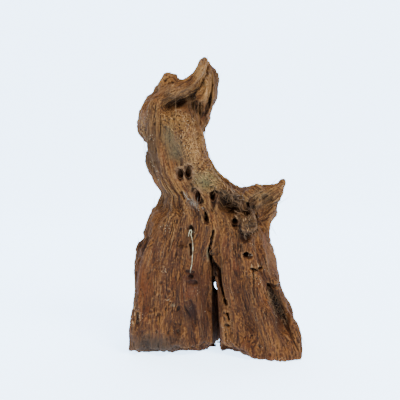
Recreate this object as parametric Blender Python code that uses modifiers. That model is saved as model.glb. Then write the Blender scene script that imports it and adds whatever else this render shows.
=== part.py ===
"""Ebony driftwood: a weathered stump that stands on two roots, with a side spur, a leaning neck and a
hooked crown. Millimetres in the tables, metres in the scene, +Z up, front towards -Y.

The wood is worked out as one lump, as it grew: lofted limbs are fused, hollows are cut out of them, and the
lump is then parted at its forks, so that each fork is a solid of its own.
"""

import math

import bmesh
import bpy
import numpy as np
from mathutils import Vector, noise

MM = 0.001

SOLE = 0.0  # height at which the roots are cut off level
JOINT_GAP = 0.3  # clearance between two solids that meet at a fork
RING_POINTS = 72
RINGS_PER_STATION = 5
STACK_FULLNESS = 2.5  # 2 makes a section an ellipse, more makes it squarer
LIMB_FULLNESS = 2.1
LEAST_HALF = 0.4  # no limb is drawn thinner than this, each way from its path
STEEP_LIMB = 0.8  # a limb that runs this straight from front to back is measured against the vertical
TWIST = -0.003  # turn of the grain round a limb, radians a millimetre
FUSE_VOXEL = 1.7
FUSE_SOFTENING = 6
CARVE_VOXEL = 1.5
CARVE_SOFTENING = 2
WOOD_TRIANGLES = 5700

# Weathering: ridges along the grain, and rounder lumps.
RIDGE_WIDTH = 8.5
RIDGE_LENGTH = 46.0
RIDGE_HEIGHT = 4.4
LUMP_SIZE = 15.0
LUMP_HEIGHT = 1.6
LUMP_SHIFT = 7
GRAIN_LEAN = 0.12  # how far the ridges lean to the left as they climb

# Ridges round a limb: how many there are, their change a millimetre along it, their height as a share of the
# limb's radius, and which way the limb's own number shifts them.
LIMB_RIDGES = ((1.9, 0.012, 0.07, (1, 0)), (4.4, 0.020, 0.07, (0, 1)), (8.5, 0.030, 0.06, (-1, 0)))
LIMB_NUMBER_SHIFT = 3.7

# Thin ends that weather less, so that they keep their taper: x, y, z and reach.
THIN_ENDS = ((64.5, -6, 157.5, 22), (-8.0, -6, 269, 20), (-6, 7, 261, 12))
THIN_SHARE = 0.15  # share of the weathering that is left at such an end

# Shells stacked on level sections: height, left, right, front, back.
LEFT_ROOT = (
    (-8, -77, -1, -40, 30),
    (6, -77, -1, -41, 31),
    (20, -77, -1, -41, 33),
    (50, -73, -1, -41, 33),
    (75, -73.5, 0, -41, 32),
    (97, -65.5, 4, -39, 31),
    (112, -60, 8, -37, 30),
    (126, -54.5, 8, -34, 27),
    (135, -48.5, 8, -30, 25),
)
RIGHT_ROOT = (
    (-8, 1, 75, -50, 28),
    (4, 1, 77, -51, 29),
    (15, 1, 76, -50, 30),
    (36, 0, 70, -45, 32),
    (55, -1, 62, -42, 33),
    (83, -4, 55, -41, 33),
    (104, -10, 49, -39, 31),
    (122, -16, 50, -35, 28),
    (134, -20, 46, -29, 24),
)
TRUNK = (
    (92, -62, 46, -30, 28),
    (106, -59.5, 46.5, -35, 29),
    (120, -58, 48.5, -36, 28),
    (134, -51.5, 41, -34, 27),
    (145, -49, 27, -32, 26),
    (154, -55, 12.5, -30, 26),
    (164, -60.5, 2, -28, 26),
    (176, -62.5, -5, -27, 26),
    (190, -62, -9, -26, 25),
    (203, -61, -13, -26, 22),
    (213, -57, -17, -24, 16),
    (220, -52, -22, -19, 8),
    (225, -46, -30, -12, 0),
)
HEAD_WALL = (
    (186, -58, -16, 2, 24),
    (200, -62, -12, 2, 24),
    (215, -62, -8, 3, 24),
    (228, -55, -8, 3, 21),
    (239, -46, -14, 2, 15),
)

# Limbs along a path: x, y, z of the middle, then half the width and half the depth across the path.
SPUR = (
    (18, -4, 116, 32, 24),
    (32.5, -5, 129, 24.5, 20),
    (46, -6, 139, 15.5, 13),
    (55, -6, 147, 8.6, 8),
    (60.5, -6, 152.5, 4.8, 5.0),
    (64.5, -6, 157.5, 2.2, 2.4),
)
SPUR_RIM = (
    (16, -22, 139, 3, 3),
    (26, -24, 145, 4, 4),
    (36, -18, 148.5, 4.5, 5),
    (45, -12, 147.5, 4, 5),
    (53, -8, 149, 2.6, 3.6),
    (59, -6, 152.5, 1.4, 1.6),
)
BACK_ROOT = (
    (-2, 8, 122, 20, 14),
    (4, 19, 84, 24, 18),
    (10, 27, 44, 27, 20),
    (14, 34, 12, 29, 21),
    (15, 35.2, -10, 29, 21),
)
LEFT_LEDGE = (
    (-56, 2, 107, 3, 8),
    (-59, 2, 98, 6.5, 15),
    (-63, 2, 92, 7.5, 18),
    (-65, 2, 80, 8.5, 19),
    (-65, 2, 64, 8.5, 17),
    (-63, 2, 50, 6, 12),
)
LEFT_RIB = (
    (-50, -18, 130, 4, 5),
    (-54, -22, 116, 5, 6),
    (-59, -26, 96, 5.5, 7),
    (-65, -28, 66, 5.5, 8),
    (-70, -30, 34, 6, 8),
    (-72, -30, 6, 6.5, 8),
    (-72, -30, -10, 6.5, 8),
)
OUTER_RIDGE = (
    (42, -22, 86, 6, 7),
    (50, -27, 70, 6.5, 9),
    (56.5, -32, 52, 7, 11),
    (63, -36, 36, 7, 12),
    (69, -40, 20, 7, 13),
    (71, -42, 6, 6.5, 12),
    (70, -42, -10, 6, 12),
)
INNER_RIDGE = (
    (28, -34, 92, 6, 7),
    (34, -38, 72, 7, 8),
    (40, -42, 52, 8, 9),
    (47, -45, 32, 9, 9),
    (55, -46, 14, 10, 9),
    (58, -45, -10, 10, 9),
)
HOOD = (
    (-60.5, 9, 187.0, 1.6, 3),
    (-63.0, 8, 193.5, 3.4, 7),
    (-65.0, 6, 203, 5.8, 12),
    (-62.5, 1, 214, 8.0, 16),
    (-56.0, -4, 223, 8.4, 18),
    (-48.0, -7, 231.0, 8.0, 18),
    (-38.5, -9, 237.0, 7.0, 17),
    (-29.5, -10, 240.5, 6.2, 15),
    (-22.0, -10, 245.0, 6.0, 12),
    (-16.3, -9, 252.0, 6.0, 9),
    (-12.4, -7, 260.0, 5.6, 6.5),
    (-9.4, -6, 266.0, 4.8, 4.6),
    (-8.0, -6, 269.0, 3.8, 3.4),
)
HOOD_FLANK = (
    (-49, -12, 172, 7, 10),
    (-53, -11, 188, 8, 13),
    (-55, -9, 204, 8, 15),
    (-52.5, -8, 217, 8, 16),
    (-46, -8, 227.5, 7, 15),
    (-38, -9, 235, 5.5, 14),
)
HOOD_BACK = (
    (-60, 14, 206, 6, 9),
    (-52, 14, 224, 8, 10),
    (-40, 12, 236, 7, 10),
    (-28, 10, 240, 5, 9),
    (-17, 8, 240, 4, 8),
)
HOOD_KNOB = (
    (-43, -3, 234, 11, 12),
    (-41.8, -2, 243.5, 8.8, 9.5),
    (-41.0, -1, 249.5, 6.8, 7.5),
    (-40.8, -1, 253.6, 4.4, 4.6),
)
REAR_PRONG = (
    (-7.0, 5, 263, 2.6, 3.4),
    (-5.2, 7, 256, 4.0, 6),
    (-2.4, 9, 246, 5.0, 9),
    (-2.6, 9, 236, 5.6, 11),
    (-6.0, 8, 225, 6.2, 12),
    (-10.8, 7, 213, 6.0, 12),
    (-14.2, 5, 204, 4.2, 9),
    (-16.4, 4, 198, 1.8, 4),
)
PLATE = (
    (-6.6, -2, 256, 2.2, 4),
    (-7.6, -5, 247, 4.2, 8),
    (-9.6, -7, 237, 5.8, 10),
    (-13.0, -7, 228, 5.6, 10),
)
NECK_RIB = (
    (-40, -14, 219, 12, 12),
    (-36, -18, 208, 13, 12),
    (-30, -20, 194, 13, 11),
    (-22, -20, 180, 11, 10),
    (-12, -20, 167, 9, 10),
    (0, -20, 156, 8, 9),
    (12, -20, 148, 6, 7),
)
SIDE_KNOB = (
    (27, -26, 130, 9, 9),
    (29, -38, 123.5, 7.4, 7.6),
    (30, -45, 122, 6.4, 6.6),
    (30.4, -48, 121.5, 4.2, 4.4),
)
MASSES = {
    "trunk": (TRUNK, "stack"),
    "left_root": (LEFT_ROOT, "stack"),
    "right_root": (RIGHT_ROOT, "stack"),
    "head_wall": (HEAD_WALL, "stack"),
    "spur": (SPUR, "limb"),
    "back_root": (BACK_ROOT, "limb"),
    "spur_rim": (SPUR_RIM, "limb"),
    "left_ledge": (LEFT_LEDGE, "limb"),
    "left_rib": (LEFT_RIB, "limb"),
    "outer_ridge": (OUTER_RIDGE, "limb"),
    "inner_ridge": (INNER_RIDGE, "limb"),
    "neck_rib": (NECK_RIB, "limb"),
    "hood": (HOOD, "limb"),
    "hood_flank": (HOOD_FLANK, "limb"),
    "hood_back": (HOOD_BACK, "limb"),
    "hood_knob": (HOOD_KNOB, "limb"),
    "rear_prong": (REAR_PRONG, "limb"),
    "plate": (PLATE, "limb"),
    "side_knob": (SIDE_KNOB, "limb"),
}

# Hollows: the same limbs, cut out. A hollow's path starts outside the wood and ends in it.
HOLLOWS = {
    "hood_hollow": ((-47, -33, 223, 2.2, 3), (-42, -27, 226, 3.2, 6), (-35, -19, 228.5, 4.6, 9),
                    (-25, -15, 228, 5.6, 10), (-17, -17, 220, 5.5, 9), (-11, -24, 212, 4.5, 7)),
    "hood_pit": ((-36, -30, 226, 5, 4), (-34, -14, 228, 5, 4), (-33, -2, 229, 2.5, 2.5)),
    "wall_pit": ((-10, -24, 216, 4, 5), (-12, -8, 217, 4.5, 5), (-14, 0, 217, 2, 2)),
    "hood_cleft": ((-5.5, -18, 263, 2.0, 5), (-8.0, -13, 252, 2.2, 6), (-12.5, -13, 240, 2.4, 5),
                   (-17, -14, 232, 1.8, 4)),
    "prong_cleft": ((-5.4, -10, 258, 1.6, 8), (-5.4, -6, 246, 1.9, 9), (-5.8, -6, 234, 2.0, 9),
                    (-8.5, -8, 221, 1.8, 8)),
    "neck_shoulder": ((-6, -12, 203, 3.4, 7), (-12, -14, 207, 4.6, 10), (-18, -18, 213, 4, 7)),
    "neck_twist": ((-58, -35, 186, 2.0, 3), (-51, -34, 176, 3.0, 4.4), (-46, -34, 164, 3.4, 5),
                   (-42, -36, 148, 3, 4.5), (-38, -40, 134, 2, 3)),
    "neck_flap": ((-72, -16, 208, 1.6, 7), (-66, -14, 200, 1.8, 8), (-60.5, -12, 190, 1.4, 6)),
    "cup": ((16, -50, 142, 11, 9), (16, -34, 139, 11, 10), (14, -20, 135, 8, 8), (12, -12, 132, 3, 3)),
    "cup_left": ((7, -44, 143, 5, 9), (7, -28, 142, 5, 9), (8, -16, 140, 2.5, 4)),
    "knob_crevice": ((25, -50, 133, 4.2, 3.8), (27, -32, 131, 4.0, 3.4), (28, -22, 130, 1.5, 1.5)),
    "knob_right": ((38, -50, 128, 2.6, 8), (38, -34, 126, 2.6, 8), (37, -26, 124, 1.2, 3)),
    "knob_underside": ((26, -52, 109, 9, 6), (26, -40, 110, 7, 5), (26, -31, 111, 3.5, 2.5)),
    "spur_face": ((52, -26, 146, 5, 7), (47, -20, 138, 7, 8), (46, -20, 126, 6, 8), (47, -26, 114, 4, 6)),
    "root_groove": ((45, -46, 74, 3.0, 5), (49.5, -42, 65, 5.0, 7.5), (55.5, -43, 50, 6.4, 7.5),
                    (61.5, -47, 36, 6.2, 7.5), (67, -52, 24, 5.0, 6.5), (71, -58, 13, 3.4, 6),
                    (74, -64, -2, 2.5, 6)),
    "scar": ((-20, -50, 70, 4.5, 4), (-24, -45, 60, 5, 4.5), (-22, -44.5, 48, 5.5, 4.5),
             (-18, -45.5, 36, 4, 4), (-16, -49, 26, 2.5, 3)),
    "left_flute_a": ((-46, -47, 120, 3, 3.5), (-48, -46, 96, 4, 4), (-50, -46.5, 66, 4, 4),
                     (-52, -46.5, 36, 4, 4), (-54, -46, -10, 4, 4)),
    "left_flute_b": ((-35, -48, 104, 3, 4), (-36, -47, 80, 3.6, 4), (-38, -47, 50, 3.6, 4),
                     (-38, -47.5, 22, 4, 4.2), (-39, -47, -10, 4, 4.2)),
    "left_flute_c": ((-64, -44, 112, 2.6, 4), (-67, -42, 84, 3.2, 5), (-66, -44, 50, 3, 5),
                     (-64, -46, 20, 3.4, 5), (-64, -46, -10, 3.4, 5)),
    "right_flute_a": ((12, -50, 92, 2.6, 4), (15, -48, 70, 3.4, 4.6), (18, -50, 46, 3.8, 4.6),
                      (24, -53, 24, 4, 4.6), (30, -56, -10, 4, 5)),
    "right_flute_b": ((38, -48, 104, 3, 4), (42, -46, 92, 3.4, 4.5), (41, -49, 80, 3, 3.5)),
    "heel_arch": ((-96, -44, -2.0, 8, 19), (-60, -46, -2.0, 8, 20), (-30, -48, -0.6, 9, 22),
                  (-8, -48, 1.2, 10, 24), (4, -46, 4.5, 9, 25), (16, -52, 0.5, 9, 22),
                  (32, -62, -3.5, 7, 18), (46, -74, -7, 5, 12)),
    "back_hollow": ((-22, 50, 118, 6, 12), (-24, 32, 112, 7, 14), (-26, 18, 106, 4, 8)),
    "back_groove": ((-26, 44, 92, 4, 6), (-28, 38, 66, 6, 8), (-30, 38, 36, 7, 9), (-30, 42, 6, 6, 9),
                    (-30, 44, -10, 6, 9)),
    "back_neck_groove": ((-34, 34, 216, 2.5, 6), (-36, 28, 196, 4.5, 7), (-32, 30, 172, 5, 7),
                         (-26, 32, 150, 3, 6)),
    "right_side_hollow": ((66, 2, 96, 5, 7), (58, 4, 84, 7, 10), (58, 6, 70, 5, 8)),
}

# Holes with crisp edges, cut after the lump has been thinned to few faces.
BORES = {
    "neck_bore_a": ((-32.6, -46, 165.5, 3.5, 5.8), (-32.0, -28, 165.5, 3.3, 5.4), (-30, -18, 164, 1.8, 3.2)),
    "neck_bore_b": ((-23.8, -46, 167.8, 3.7, 6.6), (-24.0, -28, 167.4, 3.5, 6.2), (-25, -17, 165, 1.8, 3.4)),
    "neck_bore_c": ((-17.0, -48, 147, 3.4, 6.6), (-16, -30, 145, 3.2, 6.0), (-15, -19, 144, 1.6, 3)),
    "neck_bore_d": ((-1.5, -48, 148, 3.0, 6.2), (-2.5, -28, 146, 2.8, 5.6), (-3, -19, 144, 1.4, 3)),
    "neck_bore_e": ((-8.5, -50, 129, 2.4, 6.6), (-8.5, -33, 128, 2.2, 5.8), (-9, -25, 127, 1.1, 2.5)),
    "round_bore": ((17.3, -50, 124, 3.6, 3.8), (17.3, -34, 123.5, 3.3, 3.5), (17, -23, 123, 1.6, 1.6)),
    "loop_bore": ((-21.8, -46, 117, 2.7, 6.0), (-21.8, -36, 116.5, 2.4, 5.4), (-21.5, -30, 115.5, 1.2, 3.0)),
    "small_pit": ((37.0, -56, 81.0, 3.8, 2.4), (37.0, -40, 80.5, 3.4, 2.1), (36.5, -34, 80.5, 1.4, 1.2)),
    "upper_pit": ((27.5, -52, 95.0, 3.4, 3.0), (27.5, -38, 94.5, 3.1, 2.7), (27, -31, 94.5, 1.2, 1.2)),
    "strand_pit": ((-22.4, -54, 75.5, 3.2, 2.6), (-22.4, -42, 75, 2.8, 2.3), (-22, -37, 75, 1.2, 1.2)),
    "branch_cleft": ((-5.5, -34, 93, 0.7, 6), (-2.0, -30, 85, 1.2, 7), (4.2, -31, 76, 1.6, 8),
                     (5.6, -33, 64, 1.3, 8), (8.8, -39, 52, 1.3, 7), (10.2, -40.5, 42, 1.0, 6),
                     (11.2, -41, 32, 0.7, 5)),
}
BORE_POINTS = 10
BORE_STEPS = 2

# The split between the two roots, on the front face: height, middle, width. It bends to the right with
# depth, apart from one straight line of sight that lets light through.
SPLIT_FRONT = (
    (-12, 2.5, 7.8), (20, 2.1, 7.2), (53, 0.2, 5.8), (69, -1.7, 3.8), (77, -1.9, 3.4), (90, -5.2, 3.3),
    (96, -6.0, 3.4), (103, -5.1, 2.0), (109, -4.2, 1.4), (118, -2.4, 0.8),
)
SPLIT_DEPTH = (-64, 64)
SPLIT_CLOSING = 0.5  # share of the width that is lost by the back
SPLIT_CLOSING_DEPTHS = (-30, 30)
SPLIT_LEAST = 1.4
SPLIT_BEND = 7.0
SPLIT_BEND_DEPTHS = (-8, 18)
SPLIT_WAVE = (1.2, 0.11, 0.04)  # height of the wave, and its rates with depth and with height
SIGHT_LINE = (-45, 68.8, -0.267)  # depth and height of a point on it, and its fall with depth
SIGHT_HALF_HEIGHT = 6.5
SIGHT_SHIFT = -0.5  # how far the open line drifts to the left by the back
SPLIT_HEIGHT_STEPS = 28
SPLIT_DEPTH_STEPS = 11

# Forks, each a plane through a point, with a normal towards the outer end.
ROOT_FORK = 102.0
SPUR_FORK = ((31, 0, 130), (0.80, 0.0, 0.60))
NECK_FORK = ((-20, 0, 152), (-0.32, 0.0, 0.95))
CROWN_FORK = ((-36, 0, 203), (-0.10, 0.34, 0.94))
FAR = 400.0
PAST_FORK = 5.0

# The pale rootlet that is caught in a slot of the left root: middle line and thickness.
ROOTLET_PATH = ((-21.4, -37.5, 118), (-22.4, -38.6, 113.5), (-20.7, -40.0, 108), (-20.2, -40.6, 100),
                (-20.8, -40.6, 92), (-21.2, -40.8, 86), (-22.5, -40.4, 80.5), (-22.6, -38.8, 78))
ROOTLET_THICKNESS = 1.3
ROOTLET_SIDES = 8
ROOTLET_STEPS = 3
SHARP_ANGLE = math.radians(30)

WOOD_COLOURS = {
    "left_root": (0.196, 0.094, 0.046),
    "right_root": (0.190, 0.086, 0.040),
    "trunk": (0.205, 0.105, 0.054),
    "side_spur": (0.215, 0.102, 0.044),
    "neck": (0.235, 0.133, 0.072),
    "crown": (0.220, 0.117, 0.058),
}
ROOTLET_COLOUR = (0.50, 0.43, 0.33)
WOOD_ROUGHNESS = 0.85
ROOTLET_ROUGHNESS = 0.6


def clear_scene():
    for obj in list(bpy.data.objects):
        bpy.data.objects.remove(obj, do_unlink=True)


def collection(name):
    made = bpy.data.collections.new(name)
    bpy.context.scene.collection.children.link(made)
    return made


def material(name, colour, roughness):
    made = bpy.data.materials.new(name)
    made.use_nodes = True
    shader = made.node_tree.nodes["Principled BSDF"]
    shader.inputs["Base Color"].default_value = (*colour, 1.0)
    shader.inputs["Roughness"].default_value = roughness
    shader.inputs["Metallic"].default_value = 0.0
    return made


def smooth_through(rows, steps):
    """The rows of a table and points between them, on a Catmull-Rom curve through every row."""
    rows = np.array(rows, float)
    padded = np.vstack([2 * rows[0] - rows[1], rows, 2 * rows[-1] - rows[-2]])
    found = []
    for i in range(len(rows) - 1):
        a, b, c, d = padded[i : i + 4]
        for t in np.arange(steps) / steps:
            bend = 2 * b + (c - a) * t + (2 * a - 5 * b + 4 * c - d) * t**2
            found.append(0.5 * (bend + (3 * b - a - 3 * c + d) * t**3))
    return np.array(found + [rows[-1]])


def strength_at(x, y, z):
    """The share of the weathering at a place: whole, apart from the thin ends."""
    share = 1.0
    for end_x, end_y, end_z, reach in THIN_ENDS:
        away = math.dist((x, y, z), (end_x, end_y, end_z)) / reach
        share *= THIN_SHARE + (1 - THIN_SHARE) * min(away, 1.0)
    return share


def weathered(mesh):
    """Moves the surface in and out by ridges that run along the grain, which leans with the trunk."""
    sections = np.array(TRUNK)
    heights = sections[:, 0]
    lean = (sections[:, 1] + sections[:, 2]) / 2
    moved = []
    for vertex in mesh.vertices:
        x, y, z = vertex.co / MM
        u = x - np.interp(z, heights, lean) + GRAIN_LEAN * z
        ridges = noise.noise(Vector((u / RIDGE_WIDTH, y / RIDGE_WIDTH, z / RIDGE_LENGTH)))
        lumps = noise.noise(Vector((x / LUMP_SIZE + LUMP_SHIFT, y / LUMP_SIZE, z / LUMP_SIZE)))
        height = (RIDGE_HEIGHT * ridges + LUMP_HEIGHT * lumps) * strength_at(x, y, z)
        moved.append(vertex.co + vertex.normal * height * MM)
    for vertex, place in zip(mesh.vertices, moved):
        vertex.co = place


def ridge(angle, along, grain):
    """How far the surface stands out here, as a share of its radius: ridges that run along the limb."""
    turned = angle + TWIST * along
    stretch = 1.0
    for count, rate, share, (shift_x, shift_y) in LIMB_RIDGES:
        u = count * math.cos(turned) + shift_x * grain
        v = count * math.sin(turned) + shift_y * grain
        stretch += share * noise.noise(Vector((u, v, rate * along)))
    return stretch


def loop_round(middle, across, deep, half_width, half_depth, along, fullness, grain, count=RING_POINTS):
    """One closed section: a rounded oblong with ridges."""
    points = []
    for k in range(count):
        angle = 2 * math.pi * k / count
        c, s = math.cos(angle), math.sin(angle)
        stretch = ridge(angle, along, grain) if grain is not None else 1.0
        u = math.copysign(abs(c) ** (2 / fullness), c) * half_width * stretch
        v = math.copysign(abs(s) ** (2 / fullness), s) * half_depth * stretch
        points.append(middle + across * u + deep * v)
    return points


def stack_rings(sections, grain):
    """Level rings through sections of height, left, right, front and back."""
    rings = []
    for z, left, right, front, back in smooth_through(sections, RINGS_PER_STATION):
        middle = Vector(((left + right) / 2, (front + back) / 2, z))
        rings.append(
            loop_round(middle, Vector((1, 0, 0)), Vector((0, 1, 0)), (right - left) / 2, (back - front) / 2,
                       z, STACK_FULLNESS, grain)
        )
    return rings


def limb_rings(stations, grain, steps=RINGS_PER_STATION, count=RING_POINTS):
    """Rings square to a path through stations of x, y, z, half width and half depth."""
    rows = smooth_through(stations, steps)
    rings = []
    along = 0.0
    for i, (x, y, z, half_width, half_depth) in enumerate(rows):
        before, after = rows[max(i - 1, 0)], rows[min(i + 1, len(rows) - 1)]
        tangent = Vector(after[:3] - before[:3]).normalized()
        reference = Vector((0, 0, 1)) if abs(tangent.y) > STEEP_LIMB else Vector((0, 1, 0))
        across = reference.cross(tangent).normalized()
        deep = tangent.cross(across)
        along += Vector(rows[i][:3] - before[:3]).length
        size = (max(half_width, LEAST_HALF), max(half_depth, LEAST_HALF))
        rings.append(loop_round(Vector((x, y, z)), across, deep, *size, along, LIMB_FULLNESS, grain, count))
    return rings


def lofted(name, rings, home):
    """A closed shell lofted through the rings, in metres."""
    bm = bmesh.new()
    loops = [[bm.verts.new(point * MM) for point in ring] for ring in rings]
    for lower, upper in zip(loops, loops[1:]):
        for k in range(len(lower)):
            following = (k + 1) % len(lower)
            bm.faces.new((lower[k], lower[following], upper[following], upper[k]))
    bm.faces.new(reversed(loops[0]))
    bm.faces.new(loops[-1])
    bmesh.ops.recalc_face_normals(bm, faces=bm.faces)
    mesh = bpy.data.meshes.new(name)
    bm.to_mesh(mesh)
    bm.free()
    made = bpy.data.objects.new(name, mesh)
    home.objects.link(made)
    return made


def guide(obj):
    obj.hide_render = True
    obj.display_type = "WIRE"
    return obj


def box(name, low, high, home):
    bm = bmesh.new()
    bmesh.ops.create_cube(bm, size=1.0)
    for vert in bm.verts:
        for axis in range(3):
            vert.co[axis] = (high[axis] if vert.co[axis] > 0 else low[axis]) * MM
    mesh = bpy.data.meshes.new(name)
    bm.to_mesh(mesh)
    bm.free()
    made = bpy.data.objects.new(name, mesh)
    home.objects.link(made)
    return guide(made)


def split_middle(y, z):
    """Where the split between the roots lies, left to right, at this depth and height."""
    table = np.array(SPLIT_FRONT)
    front = np.interp(z, table[:, 0], table[:, 1])
    depth, height, fall = SIGHT_LINE
    off_sight = (z - height - fall * (y - depth)) / SIGHT_HALF_HEIGHT
    on_sight = math.exp(-(off_sight**4))
    inward = float(np.interp(y, SPLIT_BEND_DEPTHS, (0, 1)))
    height_of_wave, depth_rate, height_rate = SPLIT_WAVE
    wave = height_of_wave * math.sin(depth_rate * y + height_rate * z)
    return front + (SPLIT_BEND * inward + wave) * (1 - on_sight) + SIGHT_SHIFT * inward * on_sight


def split_width(y, z):
    table = np.array(SPLIT_FRONT)
    front = np.interp(z, table[:, 0], table[:, 2])
    closing = float(np.interp(y, SPLIT_CLOSING_DEPTHS, (0, 1)))
    return max(front * (1 - SPLIT_CLOSING * closing), SPLIT_LEAST)


def sheet_block(name, left_of, right_of, heights, depths, home):
    """A closed block whose left and right sides are curved sheets x = f(y, z)."""
    bm = bmesh.new()

    def sheet(x_of):
        return [[bm.verts.new(Vector((x_of(y, z), y, z)) * MM) for y in depths] for z in heights]

    left, right = sheet(left_of), sheet(right_of)
    rows, columns = len(heights), len(depths)
    for i in range(rows - 1):
        for j in range(columns - 1):
            bm.faces.new((left[i][j], left[i + 1][j], left[i + 1][j + 1], left[i][j + 1]))
            bm.faces.new((right[i][j], right[i][j + 1], right[i + 1][j + 1], right[i + 1][j]))
    for j in range(columns - 1):
        for i in (0, rows - 1):
            bm.faces.new((left[i][j], left[i][j + 1], right[i][j + 1], right[i][j]))
    for i in range(rows - 1):
        for j in (0, columns - 1):
            bm.faces.new((left[i][j], right[i][j], right[i + 1][j], left[i + 1][j]))
    bmesh.ops.recalc_face_normals(bm, faces=bm.faces)
    mesh = bpy.data.meshes.new(name)
    bm.to_mesh(mesh)
    bm.free()
    made = bpy.data.objects.new(name, mesh)
    home.objects.link(made)
    return guide(made)


def split_grid():
    top = SPLIT_FRONT[-1][0]
    heights = np.linspace(SPLIT_FRONT[0][0], top, SPLIT_HEIGHT_STEPS)
    depths = np.linspace(*SPLIT_DEPTH, SPLIT_DEPTH_STEPS)
    return heights, depths


def cut_split(cutters):
    heights, depths = split_grid()
    return sheet_block(
        "split",
        lambda y, z: split_middle(y, z) - split_width(y, z) / 2,
        lambda y, z: split_middle(y, z) + split_width(y, z) / 2,
        heights,
        depths,
        cutters,
    )


def fused_masses(helpers):
    """All the limbs in one object: closed shells that run into each other."""
    shells = []
    for number, (name, (table, form)) in enumerate(MASSES.items()):
        rings = stack_rings if form == "stack" else limb_rings
        shells.append(lofted(name, rings(table, LIMB_NUMBER_SHIFT * number), helpers))
    joined = bmesh.new()
    for shell in shells:
        joined.from_mesh(shell.data)
        bpy.data.objects.remove(shell, do_unlink=True)
    mesh = bpy.data.meshes.new("wood_masses")
    joined.to_mesh(mesh)
    joined.free()
    made = bpy.data.objects.new("wood_masses", mesh)
    helpers.objects.link(made)
    return guide(made)


def remesh(obj, name, voxel):
    step = obj.modifiers.new(name, "REMESH")
    step.mode = "VOXEL"
    step.voxel_size = voxel * MM
    step.adaptivity = 0.0


def smooth(obj, name, rounds):
    step = obj.modifiers.new(name, "SMOOTH")
    step.factor = 0.5
    step.iterations = rounds


def cut(obj, cutter, operation="DIFFERENCE"):
    step = obj.modifiers.new(cutter.name, "BOOLEAN")
    step.operation = operation
    step.solver = "EXACT"
    step.object = cutter


def cut_all(obj, name, cutters):
    step = obj.modifiers.new(name, "BOOLEAN")
    step.operation = "DIFFERENCE"
    step.solver = "EXACT"
    step.operand_type = "COLLECTION"
    step.collection = cutters


def as_mesh(obj, name):
    graph = bpy.context.evaluated_depsgraph_get()
    return bpy.data.meshes.new_from_object(obj.evaluated_get(graph), depsgraph=graph)


def carve_wood(helpers, cutters):
    """The whole lump: fused, hollowed, split, levelled and thinned to few faces."""
    wood = fused_masses(helpers)
    for name, stations in HOLLOWS.items():
        guide(lofted(name, limb_rings(stations, None), cutters))
    remesh(wood, "fuse", FUSE_VOXEL)
    smooth(wood, "soften joins", FUSE_SOFTENING)
    cut_all(wood, "hollow out", cutters)
    remesh(wood, "skin", CARVE_VOXEL)
    smooth(wood, "soften rims", CARVE_SOFTENING)
    return wood


def half_space(name, point, normal, home):
    """A block that fills the side of a plane that the normal points to."""
    bm = bmesh.new()
    bmesh.ops.create_cube(bm, size=FAR * MM)
    turn = Vector(normal).to_track_quat("Z", "Y").to_matrix().to_4x4()
    middle = Vector(point) + Vector(normal).normalized() * FAR / 2
    turn.translation = middle * MM
    bmesh.ops.transform(bm, matrix=turn, verts=bm.verts)
    mesh = bpy.data.meshes.new(name)
    bm.to_mesh(mesh)
    bm.free()
    made = bpy.data.objects.new(name, mesh)
    home.objects.link(made)
    return guide(made)


def either_side(name, point, normal, home):
    """Two half spaces that meet at a fork with the joint gap between them: the inner and the outer one."""
    unit = Vector(normal).normalized()
    outer = half_space(name + "_outer", Vector(point) + unit * JOINT_GAP / 2, unit, home)
    inner = half_space(name + "_inner", Vector(point) - unit * JOINT_GAP / 2, -unit, home)
    return inner, outer


def part_at_forks(wood_mesh, home, helpers):
    below, above = either_side("root_fork", (0, 0, ROOT_FORK), (0, 0, 1), helpers)
    trunk_side, spur_side = either_side("spur_fork", *SPUR_FORK, helpers)
    under_neck, over_neck = either_side("neck_fork", *NECK_FORK, helpers)
    neck_side, crown_side = either_side("crown_fork", *CROWN_FORK, helpers)
    heights, depths = split_grid()
    tall = [z for z in heights if z <= ROOT_FORK] + [ROOT_FORK + PAST_FORK]
    left_of = sheet_block("left_of_split", lambda y, z: -FAR, split_middle, tall, depths, helpers)
    right_of = sheet_block("right_of_split", split_middle, lambda y, z: FAR, tall, depths, helpers)
    zones = {
        "left_root": (below, left_of),
        "right_root": (below, right_of),
        "trunk": (above, trunk_side, under_neck),
        "side_spur": (above, spur_side, under_neck),
        "neck": (over_neck, neck_side),
        "crown": (over_neck, crown_side),
    }
    for name, blocks in zones.items():
        made = bpy.data.objects.new(name, wood_mesh.copy())
        home.objects.link(made)
        made.data.materials.append(material(name + "_wood", WOOD_COLOURS[name], WOOD_ROUGHNESS))
        for block in blocks:
            cut(made, block, "INTERSECT")


def bodies_of(bm):
    """The points of a mesh in groups that hang together."""
    left = set(bm.verts)
    while left:
        body, edge = set(), [left.pop()]
        while edge:
            vert = edge.pop()
            body.add(vert)
            near = [e.other_vert(vert) for e in vert.link_edges]
            edge += [other for other in near if other in left]
            left.difference_update(near)
        yield body


def keep_main_body(obj):
    """Settles the cuts of a solid, and drops the chips that they leave loose."""
    mesh = as_mesh(obj, obj.name)
    bm = bmesh.new()
    bm.from_mesh(mesh)
    bodies = sorted(bodies_of(bm), key=len)
    for chip in bodies[:-1]:
        print(obj.name, "loses a chip of", len(chip), "points")
        bmesh.ops.delete(bm, geom=list(chip), context="VERTS")
    for face in bm.faces:
        face.smooth = True
    for edge in bm.edges:
        edge.smooth = len(edge.link_faces) == 2 and edge.calc_face_angle() < SHARP_ANGLE
    bm.to_mesh(mesh)
    bm.free()
    obj.modifiers.clear()
    obj.data = mesh


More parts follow.
